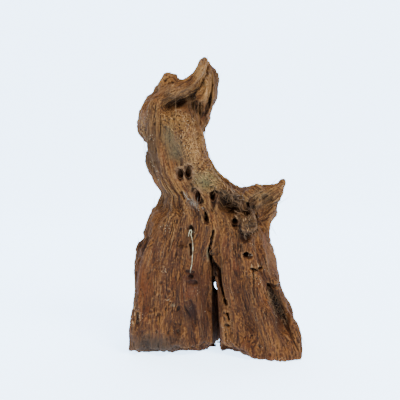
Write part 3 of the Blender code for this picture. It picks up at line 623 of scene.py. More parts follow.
def weathering_tree():
    tree, given = geometry_tree("weathering", WEATHER_SIZES)
    grain, place = (add(tree, CARRIED_VECTOR, (name,)) for name in ("grain", "place"))
    calm, coarse, pored = (add(tree, CARRIED_NUMBER, (name,)) for name in ("calm", "coarse", "pored"))

    def along(kind, detail, distortion):
        return streaks(tree, grain, given[kind + " width"], given[kind + " length"], detail, distortion)

    def all_round(kind, detail, distortion=0.0):
        return streaks(tree, place, given[kind + " size"], given[kind + " size"], detail, distortion)

    flutes = add(tree, TIMES, (along("Flute", 1.5, 0.15), given["Flute depth"]))
    fibres = add(tree, TIMES, (along("Fibre", 2.0, 0.2), given["Fibre depth"]))

    open_slit = add(tree, RAMP, (along("Slit", 1.0, 0.2), 0.2, 0.42))
    slit_patch = add(tree, RAMP, (streaks(tree, grain, *SLIT_PATCH, 1.0), -0.3, 0.15, 0.25, 1.0))
    slits = add(tree, TIMES, (add(tree, TIMES, (open_slit, slit_patch)), given["Slit depth"]))

    pit_length = add(tree, TIMES, (given["Pit spacing"], PIT_STRETCH))
    open_pit = dots(tree, grain, given["Pit spacing"], pit_length, *PIT_RIM)
    pit_patch = add(tree, RAMP, (streaks(tree, grain, *PIT_PATCH, 1.0), 0.02, 0.2))
    pits = add(tree, TIMES, (add(tree, TIMES, (open_pit, pit_patch)), given["Pit depth"]))

    # A smooth field is cut into steps, each of which ends in a short slope.
    layer = add(tree, TIMES, (along("Ledge", 2.5, 0.6), LEDGE_STEPS))
    whole = add(tree, WHOLE_PART, (layer,))
    slope = add(tree, RAMP, (add(tree, MINUS, (layer, whole)), 0.72, 1.0))
    ledges = add(tree, TIMES, (add(tree, PLUS, (whole, slope)), given["Ledge height"]))

    crumbs = add(tree, TIMES, (all_round("Crumb", 2.0), given["Crumb height"]))
    knobs = add(tree, TIMES, (all_round("Knob", 2.5, 0.3), given["Knob height"]))
    open_pore = dots(tree, place, given["Pore spacing"], given["Pore spacing"], *PORE_RIM)
    pores = add(tree, TIMES, (open_pore, given["Pore depth"]))
    knobbly = add(tree, TIMES, (add(tree, MINUS, (knobs, pores)), pored))

    standing = add(tree, PLUS, (add(tree, PLUS, (flutes, fibres)), ledges))
    cut_away = add(tree, PLUS, (slits, pits))
    fibrous = add(tree, TIMES, (add(tree, MINUS, (standing, cut_away)), coarse))
    rough = add(tree, PLUS, (add(tree, PLUS, (fibrous, crumbs)), knobbly))
    metres = add(tree, TIMES, (add(tree, TIMES, (rough, calm)), MM))
    offset = add(tree, VECTOR_TIMES, {0: add(tree, "GeometryNodeInputNormal"), "Scale": metres})
    moved = add(tree, "GeometryNodeSetPosition", {"Geometry": given["Geometry"], "Offset": offset})
    add(tree, "NodeGroupOutput", (moved,), None)
    return tree


# %% Weathering applied
# Middle, reach in millimetres, the share of the fibres that is left in the middle, and how pored it is there.
WORN_SPOTS = {
    "dome of the neck": ((-34, -26, 213), 20, 0.35, 1.0),
    "front of the neck": ((-38, -27, 192), 16, 0.35, 0.3),
    "right of the neck": ((-20, -22, 190), 20, 0.35, 1.0),
    "foot of the neck": ((-10, -22, 174), 18, 0.4, 1.0),
    "green swelling": ((-4, -28, 160), 15, 0.3, 0.8),
    "knob": ((30, -46, 123), 10, 0.35, 1.0),
    "plate": ((-9, -14, 237), 9, 0.4, 0.3),
    "prong": ((-14, -14, 256), 10, 0.9, 0.2),
    "bump": ((-42, -10, 248), 12, 0.8, 0.5),
    "spur tip": ((64, -6, 157), 14, 0.3, 0.0),
    "crown tip": ((-9, -6, 268), 9, 0.35, 0.0),
    "scar": ((-23, -42, 42), 12, 0.4, 0.2),
}
SPLIT_LEAST = 1.2
SPLIT_END = 6.0
SPLIT_REACH = 1.5
SIGHT_HALF_WIDTH = 1.0
# In the bored holes the wood is clean: from this depth on, by how much fibres and all relief are weaker.
BORED_DEPTH = 2
BORED_FINER = 0.8
BORED_CALMER = 0.6


def store(mesh, name, values):
    """Keeps one value, vector or colour for each point of a mesh."""
    kind = {1: ("FLOAT", "value"), 3: ("FLOAT_VECTOR", "vector"), 4: ("FLOAT_COLOR", "color")}
    width = 1 if values.ndim == 1 else values.shape[1]
    attribute = mesh.attributes.new(name, kind[width][0], "POINT")
    attribute.data.foreach_set(kind[width][1], values.astype(np.float32).ravel())


def wear_of(points):
    """How strongly the fibres stand out, and how pored the wood is: worn in a few spots, also at the tips."""
    coarse = np.ones(len(points))
    pored = np.zeros(len(points))
    for middle, reach, least, pores in WORN_SPOTS.values():
        away = np.clip(np.linalg.norm(points / MM - np.array(middle), axis=1) / reach, 0, 1) ** 2
        coarse *= least + (1 - least) * away
        pored = np.maximum(pored, pores * (1 - away))
    return coarse, pored


def clear_of_split(points, normals):
    """The points' x, kept out of the open split, each on the side whose wall it belongs to."""
    x, y, z = (points / MM).T
    table = np.array(SPLIT_FRONT)
    front = np.interp(z, table[:, 0], table[:, 2])
    closing = SPLIT_CLOSING * np.interp(y, SPLIT_CLOSING_DEPTHS, (0, 1))
    half = 0.5 * np.maximum(front * (1 - closing), SPLIT_LEAST)
    half = np.maximum(half, SIGHT_HALF_WIDTH * (on_sight_line(y, z) > 0.5))
    half *= np.clip((SPLIT_FRONT[-1][0] - z) / SPLIT_END, 0, 1)
    middle = split_middle(y, z)
    beside = x - middle
    side = np.where(np.abs(normals[:, 0]) > 0.3, -np.sign(normals[:, 0]), np.where(beside < 0, -1, 1))
    strays = (np.abs(beside) < half + SPLIT_REACH) & (beside * side < half) & (half > 0)
    return np.where(strays, middle + side * half, x) * MM


def with_tree(mesh, name, tree, settings):
    """A mesh run through a Geometry Nodes tree, whose inputs are set by their identifiers."""
    held = placed(name, mesh)
    step = held.modifiers.new(name, "NODES")
    step.node_group = tree
    sockets = {item.name: item.identifier for item in tree.interface.items_tree if item.in_out == "INPUT"}
    for key, value in settings.items():
        step[sockets[key]] = value
    return settled(held)


points = points_of(skin)
grain, calm, way = grain_of(points / MM)
coarse, pored = wear_of(points)
bored = np.clip(depth_of(points, HOLES, HOLE_STEEPNESS, 1.0) / BORED_DEPTH, 0, 1) * (points[:, 1] < 0)
coarse *= 1 - BORED_FINER * bored
pored *= 1 - bored
calm *= 1 - BORED_CALMER * bored
carried = {"place": points / MM, "grain": grain, "way": way, "calm": calm, "coarse": coarse, "pored": pored}
for name, values in carried.items():
    store(skin, name, values)
skin = with_tree(skin, "weathering", weathering_tree(), WEATHER_SIZES)
points = points_of(skin)
points[:, 0] = clear_of_split(points, normals_of(skin))
points[:, 2] = np.maximum(points[:, 2], 0.0)
move_to(skin, points)
print("weathered:", len(skin.polygons), "faces")

# %% [markdown]
# ## How deep each point lies
# The colour paints shade into the slits and wide hollows and a highlight onto the ribs, so it needs to know how
# deep a point lies below the skin round it. A much smoothed copy of the skin tells it, once for fine slits and
# once for wide hollows.

# %% Depth below the smoothed skin
NEAR_ROUNDS = 7
WIDE_ROUNDS = 260
points = points_of(skin)
normals = normals_of(skin)
edges = edges_of(skin)
near_skin = relaxed(points, edges, NEAR_ROUNDS)
wide_skin = relaxed(near_skin, edges, WIDE_ROUNDS)
fine_depth = ((near_skin - points) * normals).sum(axis=1) / MM
wide_depth = ((wide_skin - points) * normals).sum(axis=1) / MM
for name, depths in (("fine_depth", fine_depth), ("wide_depth", wide_depth)):
    store(skin, name, depths)
    print(name, "low, middle and high:", np.percentile(depths, [2, 50, 98]).round(2))

# %% [markdown]
# ## Stains and painted light
# The photograph shows patches of other colours: grey-green where the neck is worn, orange on the left flank,
# grey at the foot of the left root. Other spots are painted shade: almost black in the cup, in the groove, over
# and under the knob and under the hood, and darker on the left of the neck. One is painted light, a paler brown
# on the walls of the split. Each is a soft spot with a place, a reach across and along, a colour and a
# strength.

# %% Stain spots
def linear(hex_colour):
    """A colour of three linear values from sRGB hex."""
    values = [int(hex_colour[i : i + 2], 16) / 255 for i in (1, 3, 5)]
    return tuple(v / 12.92 if v <= 0.04045 else ((v + 0.055) / 1.055) ** 2.4 for v in values)


# x and z of the middle, reach across and along in millimetres, colour, strength.
STAINS_AND_PAINTED_LIGHT = {
    "worn grey neck": (-42, 200, 7, 9, "#584a2f", 0.55),
    "worn grey neck, lower": (-36, 186, 7, 11, "#50432b", 0.6),
    # Painted shade on the left of the neck, away from the light.
    "left of the neck": (-56, 196, 6, 24, "#3a2615", 0.6),
    "orange over the twin holes": (-38.6, 174, 4, 4.5, "#6b3f1c", 0.6),
    "green swelling": (-8, 160, 12, 9, "#5c4f2f", 0.75),
    "dark green of the swelling": (-8, 157, 5, 4, "#463e27", 0.45),
    "pale dome": (-34, 215, 14, 8, "#78552c", 0.5),
    "neck right": (-19, 190, 8, 20, "#7a5832", 0.5),
    "left flank orange": (-66, 66, 7, 20, "#5f3517", 0.6),
    "left shoulder orange": (-54, 124, 9, 16, "#5d3a1c", 0.5),
    "orange under the rootlet": (-24, 60, 7, 8, "#5b3115", 0.5),
    "scar": (-22, 42, 6.5, 12, "#26130a", 0.95),
    "pits above the scar": (-21.5, 73, 7, 9, "#2e160d", 0.85),
    "red shade beside the scar": (-12, 52, 6, 26, "#3e2112", 0.5),
    "dark round the rootlet": (-23, 106, 5, 14, "#392512", 0.6),
    "grey foot": (-55, 8, 26, 12, "#3b342b", 0.8),
    "pale spot": (-38.5, 47.7, 2.2, 1.4, "#766a52", 0.8),
    "right edge pale": (52, 92, 8, 16, "#6e5338", 0.6),
    "spur": (44, 142, 10, 10, "#4a3822", 0.5),
    "hood ridge": (-42, 240, 20, 5, "#66482b", 0.5),
    "plate": (-9, 238, 4, 11, "#8c6337", 0.7),
    "prong": (-16, 258, 6, 9, "#7c5a33", 0.6),
    "back of the crown": (2, 246, 5, 14, "#3e2815", 0.8),
    "top of the rear lobe": (-2, 259, 4, 4, "#3e2415", 0.6),
    # Painted shade under the hood: on its underside, deep in its hollow and on the neck below it.
    "underside of the hood": (-20, 225, 13, 8, "#5c3a21", 0.8),
    "deep under the hood": (-37, 231, 7, 4.5, "#2c1a10", 0.8),
    "side of the neck under the hood": (-16, 205, 5, 9, "#4a3019", 0.5),
    # Painted shade in the second hollow.
    "second hollow": (-11, 215, 5, 6, "#4a2c1c", 0.7),
    # Painted shade in the cup, in the crevice over the knob and in the groove of the right root.
    "cup": (12, 142, 13, 11, "#1c120c", 0.85),
    "over the knob": (32, 134.5, 7, 5, "#170e08", 0.9),
    "groove": (56.5, 44, 6, 19, "#24160f", 0.75),
    "knob": (31, 124, 7, 7, "#302010", 0.8),
    # Painted light: a paler, redder brown on the shaded walls of the split.
    "walls of the split": (0.8, 42, 4, 36, "#5a3720", 0.6),
    "knob shade": (28, 112, 9, 5, "#20130c", 0.7),
    "shade left of the knob": (20, 130, 6, 8, "#33210f", 0.6),
    "pale sliver in the split": (-6.6, 94, 1.4, 6, "#6c664c", 0.9),
    "dust under the bored holes": (-20, 140, 6, 5, "#51443a", 0.6),
    "shade between the holes": (-22, 156, 4, 7, "#3c2817", 0.6),
    # Painted shade on the left side of the neck, away from the light.
    "left side of the neck": (-58, 180, 7, 20, "#3f2a16", 0.7),
    "left twin hole": (-32, 165, 4, 6, "#8a6547", 0.9),
    "right twin hole": (-24, 167, 4, 7, "#96704f", 0.9),
    "hole under the twins": (-16.5, 146, 4, 7, "#8a6547", 0.9),
    "hole right of it": (-1, 144, 4, 6, "#6e4d35", 0.8),
    "round hole": (17.4, 122, 3.5, 4, "#5c3f2b", 0.8),
}


SPOT_BACK = 8
SPOT_EDGE = 1.3


def stain_and_painted_light_colours(points, normals):
    x, y, z = (points / MM).T
    front = np.clip(-normals[:, 1] * 2 + 0.8, 0, 1) * (y < SPOT_BACK)
    colours = np.zeros((len(points), 4))
    for middle_x, middle_z, across, along, colour, strength in STAINS_AND_PAINTED_LIGHT.values():
        distance = ((x - middle_x) / across) ** 2 + ((z - middle_z) / along) ** 2
        share = np.exp(-(distance**SPOT_EDGE)) * strength * front
        colours[:, :3] = colours[:, :3] * (1 - share[:, None]) + np.array(linear(colour)) * share[:, None]
        colours[:, 3] = colours[:, 3] * (1 - share) + share
    visible = np.maximum(colours[:, 3:], 1e-4)
    colours[:, :3] /= visible
    return colours


stains_and_painted_light = stain_and_painted_light_colours(points, normals)
store(skin, "stain", np.concatenate([stains_and_painted_light[:, :3], np.ones((len(stains_and_painted_light), 1))], axis=1))
store(skin, "stain_share", stains_and_painted_light[:, 3])
print("stains:", len(STAINS_AND_PAINTED_LIGHT))

# %% [markdown]
# ## The wood's finish
# Ebony driftwood is dense brown heartwood, dried and bleached by turns. Its fibres scatter light, so it has
# hardly any gloss. Its colour is a streaky brown between ochre and red-brown, with pale dust here and there.
# A painted highlight makes the ribs paler, and painted shade makes the wide hollows darker and the slits nearly
# black. All of it is drawn from the grain coordinates, so that streaks run with the fibres.

# %% Weathered heartwood
WOOD_DARK = "#241307"
WOOD_MIDDLE = "#472a13"
WOOD_LIGHT = "#734d25"
WOOD_RED = "#592e13"
ROOT_SHADE = "#e2d3cc"
ROOT_SHADE_HEIGHTS = (140.0, 95.0)
# Nearly black: the own colour of dashes and pores, and painted shade in the slits.
SLIT_DARK = "#1a0f08"
# Painted shade in the wide hollows.
HOLLOW_SHADE = "#20130b"
# Painted highlight on the ribs.
RIB_HIGHLIGHT = "#856036"
DUST_PALE = "#a89474"


def new_finish(name, roughness=0.5, specular=0.5):
    """A new material, its tree and the inputs of its shader."""
    made = bpy.data.materials.new(name)
    made.use_nodes = True
    inputs = made.node_tree.nodes["Principled BSDF"].inputs
    inputs["Roughness"].default_value = roughness
    inputs["Specular IOR Level"].default_value = specular
    return made, made.node_tree, inputs


MIX = ("ShaderNodeMix", {"data_type": "RGBA"})
MIX_TIMES = ("ShaderNodeMix", {"data_type": "RGBA", "blend_type": "MULTIPLY"})
# What the skin carries for its finish, and the output by which a material reads it.
READ_AS = {"grain": "Vector", "place": "Vector", "stain": "Color", "stain_share": "Fac", "fine_depth": "Fac",
           "wide_depth": "Fac", "calm": "Fac", "pored": "Fac"}
# Patterns along the grain: width across and length along the fibres in millimetres, detail, distortion.
PATTERNS = {
    "broad": (14.0, 60.0, 2.0, 0.4),
    "streak": (1.9, 40.0, 3.0, 0.5),
    "hair": (0.6, 14.0, 2.0, 0.3),
    "chip": (1.0, 9.0, 2.0, 0.2),
    "red": (9.0, 24.0, 2.0, 0.4),
    "dash": (0.75, 12.0, 1.0, 0.2),
}
TONE_SHARES = {"broad": 0.5, "streak": 0.7, "hair": 0.8, "chip": 0.5}
FLECK_SIZE = 1.5
DUST_SIZE = 1.6
DUST_PATCH = 16


def heartwood():
    made, tree, inputs = new_finish("weathered_ebony_heartwood", specular=0.15)
    seen = {name: add(tree, ("ShaderNodeAttribute", {"attribute_name": name}), (), output)
            for name, output in READ_AS.items()}
    for name, row in PATTERNS.items():
        seen[name] = streaks(tree, seen["grain"], *row)
    fleck = streaks(tree, seen["place"], FLECK_SIZE, FLECK_SIZE, 2.0)
    fleck_share = add(tree, TIMES_PLUS, (seen["pored"], 1.6, 0.3))

    # Four patterns and the flecks add up to one tone, which picks the brown.
    tone = 0.5
    for name, share in TONE_SHARES.items():
        tone = add(tree, TIMES_PLUS, (seen[name], share, tone))
    tone = add(tree, TIMES_PLUS_CLAMPED, (fleck, fleck_share, tone))

    # Stains and painted light have an uneven edge.
    streaked = add(tree, TIMES_PLUS, (seen["streak"], 0.5, seen["stain_share"]))
    uneven = add(tree, TIMES_PLUS_CLAMPED, (fleck, 0.35, streaked))
    stain_share = add(tree, TIMES, (uneven, add(tree, RAMP, (seen["stain_share"], 0.0, 0.2))))
    height = add(tree, "ShaderNodeSeparateXYZ", (seen["place"],), 2)

    # Dashes and pores are nearly black, and the slits get a nearly black painted shade.
    dash = add(tree, RAMP, (seen["dash"], 0.2, 0.5, 0.0, 0.55))
    dash_share = add(tree, TIMES, (dash, add(tree, MINUS_CLAMPED, (1.0, seen["pored"]))))
    spacing = WEATHER_SIZES["Pore spacing"]
    pore = dots(tree, seen["place"], spacing, spacing, *PORE_RIM)
    pore_share = add(tree, TIMES, (add(tree, TIMES, (pore, seen["pored"])), 0.6))
    slit = add(tree, RAMP, (seen["fine_depth"], 0.04, 0.42, 0.0, 0.75))
    slit_shade_share = add(tree, TIMES, (slit, add(tree, RAMP, (seen["fine_depth"], 0.7, 1.4, 1.0, 0.25))))

    # Specks of dust lie in patches.
    dust_at = add(tree, "ShaderNodeTexCoord", (), "Object")
    speck = dots(tree, dust_at, DUST_SIZE * MM, DUST_SIZE * MM, 0.18, 0.3)
    drift_links = {"Vector": dust_at, "Scale": 1 / (DUST_PATCH * MM), "Detail": 1.0}
    drift = add(tree, RAMP, (add(tree, "ShaderNodeTexNoise", drift_links), 0.58, 0.72))
    dust_share = add(tree, TIMES, (add(tree, TIMES, (speck, drift)), 0.5))

    # From the bottom up. Ribs get a painted highlight and wide hollows painted shade. Low down, the roots are a
    # shade darker.
    wood = WOOD_DARK
    for kind, share, colour in (
        (MIX, add(tree, RAMP, (tone, 0.0, 0.5)), WOOD_MIDDLE),
        (MIX, add(tree, RAMP, (tone, 0.5, 1.0)), WOOD_LIGHT),
        (MIX, add(tree, RAMP, (seen["red"], 0.05, 0.5, 0.0, 0.6)), WOOD_RED),
        (MIX, add(tree, RAMP, (seen["fine_depth"], 0.0, -0.4, 0.0, 0.55)), RIB_HIGHLIGHT),
        (MIX, add(tree, RAMP, (seen["wide_depth"], 1.2, 5.5, 0.0, 0.5)), HOLLOW_SHADE),
        (MIX, stain_share, seen["stain"]),
        (MIX_TIMES, add(tree, RAMP, (height, *ROOT_SHADE_HEIGHTS)), ROOT_SHADE),
        (MIX, dash_share, SLIT_DARK),
        (MIX, pore_share, SLIT_DARK),
        (MIX, slit_shade_share, SLIT_DARK),
        (MIX, dust_share, DUST_PALE),
    ):
        wood = add(tree, kind, {0: share, 6: wood, 7: colour}, 2)
    tree.links.new(wood, inputs["Base Color"])

    threads = add(tree, TIMES_PLUS, (seen["streak"], 0.5, seen["hair"]))
    relief = add(tree, TIMES_PLUS, (fleck, fleck_share, add(tree, TIMES, (threads, seen["calm"]))))
    bump = add(tree, "ShaderNodeBump", {"Strength": 0.8, "Distance": 0.6 * MM, "Height": relief})
    tree.links.new(bump, inputs["Normal"])
    tree.links.new(add(tree, RAMP, (seen["streak"], -0.5, 0.5, 0.78, 0.95)), inputs["Roughness"])
    return made


wood_finish = heartwood()
print("finish:", wood_finish.name)

# %% [markdown]
# ## One piece for each limb
# The skin is parted again where the solids part, at the forks, so that each limb is a piece of its own and
# stays light enough to handle. The cut ends are closed with flat caps. The normals of the whole skin are kept
# on the pieces, so that light runs over the joins without a line.

# %% Parting helpers
SAW_HALF_WIDTH = 0.1
SAW_DEPTHS = (-64, 66, 2.0)
SAW_LOWEST = -4
SAW_ROWS = 37
LEAST_BODY = 1000


def parted(bm, fork):
    """A closed mesh parted by a plane into the half below it and the half beyond it, each with a flat cap."""
    place, normal = Vector(fork[0]) * MM, Vector(fork[1]).normalized()
    halves = (bm, bm.copy())
    for half, outward in zip(halves, (normal, -normal)):
        all_of_it = half.verts[:] + half.edges[:] + half.faces[:]
        plane = {"plane_co": place, "plane_no": outward, "dist": 1e-7, "clear_outer": True}
        found = bmesh.ops.bisect_plane(half, geom=all_of_it, **plane)
        cut = [item for item in found["geom_cut"] if isinstance(item, bmesh.types.BMEdge)]
        caps = bmesh.ops.triangle_fill(half, edges=cut, use_beauty=True, use_dissolve=False)["geom"]
        for face in [item for item in caps if isinstance(item, bmesh.types.BMFace)]:
            face.normal_update()
            if face.normal.dot(outward) < 0:
                face.normal_flip()
    return halves


def saw_cut():
    """A thin wall along the middle of the split, from front to back and up to the fork."""
    depths = np.arange(*SAW_DEPTHS)
    heights = np.linspace(SAW_LOWEST, ROOT_FORK[0][2] + SAW_HALF_WIDTH, SAW_ROWS)
    last, top = len(depths) - 1, len(heights) - 1
    bm = bmesh.new()
    sheets = []
    for side in (-SAW_HALF_WIDTH, SAW_HALF_WIDTH):
        middles = [split_middle(np.full(len(heights), y), heights) for y in depths]
        sheets.append([[bm.verts.new(Vector((x + side, y, z)) * MM) for x, z in zip(row, heights)]
                       for y, row in zip(depths, middles)])
    for sheet in sheets:
        for i in range(last):
            for j in range(top):
                bm.faces.new((sheet[i][j], sheet[i + 1][j], sheet[i + 1][j + 1], sheet[i][j + 1]))
    rim = [(i, 0) for i in range(last)] + [(last, j) for j in range(top)]
    rim += [(i, top) for i in range(last, 0, -1)] + [(0, j) for j in range(top, 0, -1)]
    for (a, b), (c, d) in zip(rim, rim[1:] + rim[:1]):
        bm.faces.new((sheets[0][a][b], sheets[0][c][d], sheets[1][c][d], sheets[1][a][b]))
    bmesh.ops.recalc_face_normals(bm, faces=bm.faces[:])
    return closed(bm, "saw_cut")


def beside_split(bm):
    """The two roots below the fork, which a thin saw cut along the split has parted."""
    other = bm.copy()
    for half, side in ((bm, -1), (other, 1)):
        for body in list(bodies_of(half)):
            middle = np.mean([vert.co for vert in body], axis=0) / MM
            if len(body) < LEAST_BODY or (middle[0] - split_middle(*middle[1:])) * side < 0:
                bmesh.ops.delete(half, geom=list(body), context="VERTS")
    return bm, other


# %% Parting
def limb_piece(name, bm):
    """An object for one limb, with the normals of the whole skin."""
    mesh = closed(bm, name)
    mesh.polygons.foreach_set("use_smooth", np.ones(len(mesh.polygons), bool))
    directions = rows_of(mesh.attributes["skin_normal"].data, "vector", 3)
    directions = directions / np.maximum(np.linalg.norm(directions, axis=1, keepdims=True), 1e-6)
    mesh.normals_split_custom_set_from_vertices(directions.tolist())
    mesh.attributes.remove(mesh.attributes["skin_normal"])
    mesh.materials.append(wood_finish)
    return placed(name, mesh)


store(skin, "skin_normal", normals)
whole = opened(cut_out(skin, saw_cut()))
lower, upper = parted(whole, ROOT_FORK)
column, head = parted(upper, NECK_FORK)
stem, spur = parted(column, SPUR_FORK)
throat, crown = parted(head, CROWN_FORK)
left, right = beside_split(lower)
for node, body in zip(WOOD, (left, right, stem, spur, throat, crown)):
    piece = limb_piece(node + "_wood", body)
    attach(piece, "root")
    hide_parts(node)
    print(piece.name, len(piece.data.polygons), "faces")

# %% [markdown]
# ## The rootlet in the left root
# A pale, stiff rootlet is caught in the wood. It comes out of a hole, turns back on itself in a tight loop and
# runs down a groove into a pit. It keeps the line of its solid and hardly differs from it in thickness. A curve
# with a round bevel makes it, and its radius varies a little and shrinks downwards, as a dried root's does.

# %% Rootlet
ROOTLET_LINE = (
    (-24.2, -35, 109.5), (-24, -37.6, 112), (-23.6, -38.8, 114.6), (-22.8, -38.9, 116.6),
    (-21.9, -38.4, 117.2), (-21.2, -38.4, 115.6), (-21.9, -38.9, 113), (-20.7, -40, 108), (-20.2, -40.6, 100),
    (-20.8, -40.6, 92), (-21.2, -40.8, 86), (-22.5, -40.4, 80.5), (-22.6, -38.8, 78),
)
ROOTLET_RADIUS = 0.36 * MM
ROOTLET_DARK = "#584931"
ROOTLET_PALE = "#9a8f6c"
ROOTLET_NODE = 5


def smooth_line(rows, steps):
    """The rows and points between them, on a Catmull-Rom curve through every row."""
    rows = np.array(rows, float)
    padded = np.vstack([2 * rows[0] - rows[1], rows, 2 * rows[-1] - rows[-2]])
    found = []
    for i in range(len(rows) - 1):
        a, b, c, d = padded[i : i + 4]
        for t in np.arange(steps) / steps:
            bend = 2 * b + (c - a) * t + (2 * a - 5 * b + 4 * c - d) * t**2
            found.append(0.5 * (bend + (3 * b - a - 3 * c + d) * t**3))
    return np.array(found + [rows[-1]])


def pale_root():
    """Dried root bark: pale, matt, with darker nodes along it."""
    made, tree, inputs = new_finish("dried_pale_root", 0.65)
    place = add(tree, "ShaderNodeTexCoord", (), "Object")
    links = {"Vector": place, "Scale": 1 / (ROOTLET_NODE * MM), "Detail": 2.0}
    patch = add(tree, RAMP, (add(tree, "ShaderNodeTexNoise", links), 0.4, 0.62))
    tree.links.new(add(tree, MIX, {0: patch, 6: ROOTLET_DARK, 7: ROOTLET_PALE}, 2), inputs["Base Color"])
    return made


def rootlet_piece():
    path = smooth_line(ROOTLET_LINE, 5) * MM
    line = bpy.data.curves.new("rootlet_line", "CURVE")
    line.dimensions = "3D"
    line.bevel_depth, line.bevel_resolution, line.use_fill_caps = ROOTLET_RADIUS, 3, True
    spline = line.splines.new("POLY")
    spline.points.add(len(path) - 1)
    for i, (point, place) in enumerate(zip(spline.points, path)):
        point.co = (*place, 1.0)
        point.radius = 1.05 - 0.3 * i / len(path) + 0.12 * math.sin(i * 1.3) + 0.08 * math.sin(i * 3.1)
    bm = opened(settled(placed("rootlet_curve", line)))
    bmesh.ops.remove_doubles(bm, verts=bm.verts, dist=1e-6)
    bmesh.ops.recalc_face_normals(bm, faces=bm.faces)
    mesh = closed(bm, "pale_rootlet")
    mesh.materials.append(pale_root())
    mesh.shade_smooth()
    return placed("pale_rootlet", mesh)


rootlet = rootlet_piece()
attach(rootlet, "root")
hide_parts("rootlet")
print("rootlet:", len(rootlet.data.polygons), "faces")

# %% [markdown]
# ## Loose fibres, splinters and sand
# Where the wood tears, its fibres come loose: twisted strands in the cup and in the groove of the right root,
# short splinters at the tips and broken rims, pale flakes under the bored holes, and single hairs everywhere.
# Sand stays stuck in the hollows. All of these repeat by the hundred, so two Geometry Nodes trees grow them out
# of the skin. One scatters curves that run with the grain and lift off it, and sweeps a round profile along
# them. The other scatters grains. Lines drawn on the front, as for the marks, say where each kind grows.

# %% The strand tree
STRAND_SIZES = {
    "Apart": 2.0,
    "Length": 10.0,
    "Thickness": 0.35,
    "Tip share": 0.25,
    "Lift": 0.2,
    "Stray": 0.25,
    "Turned back": 0.5,
    "Curl": 1.5,
    "Curl width": 7.0,
}
PLACE_AND_FINISH = (("Where", "String"), ("Finish", "Material"))
STRAND_SIDES = 4
STRAND_POINTS = 6
BURIED_SHARE = 0.12


RANDOM_NUMBER = ("FunctionNodeRandomValue", {"data_type": "FLOAT"})
RANDOM_VECTOR = ("FunctionNodeRandomValue", {"data_type": "FLOAT_VECTOR"})
POINT_Z_ALONG = ("FunctionNodeAlignRotationToVector", {"axis": "Z"})
POINT_Y_ALONG = ("FunctionNodeAlignRotationToVector", {"axis": "Y", "pivot_axis": "Z"})
TURN = ("FunctionNodeRotateRotation", {"rotation_space": "LOCAL"})
SCATTER = ("GeometryNodeDistributePointsOnFaces", {"distribute_method": "POISSON"})


def scattered(tree, given, seed):
    """Points on the skin, a least distance apart, as dense as the named value says."""
    apart = add(tree, TIMES, (given["Apart"], MM))
    densest = add(tree, OVER, (0.7, add(tree, TIMES, (apart, apart))))
    dense = add(tree, CARRIED_NUMBER, (given["Where"],))
    return add(tree, SCATTER, {0: given["Geometry"], 2: apart, 3: densest, 5: dense, 6: seed}, None)


def turned(tree, rotation, axis, angle):
    """A rotation turned further about one of its own axes."""
    return add(tree, TURN, (rotation, add(tree, "FunctionNodeAxisAngleToRotation", (axis, angle))))


def stood_up(tree, points, shape, rotation, size):
    """The shape at every point, turned and sized, as real geometry."""
    standing = add(tree, "GeometryNodeInstanceOnPoints", {0: points, 2: shape, 5: rotation, 6: size})
    return add(tree, "GeometryNodeRealizeInstances", (standing,))


def finished(tree, geometry, given):
    """The tree with its geometry handed out in its finish."""
    coated = add(tree, "GeometryNodeSetMaterial", {0: geometry, "Material": given["Finish"]})
    add(tree, "NodeGroupOutput", (coated,), None)
    return tree


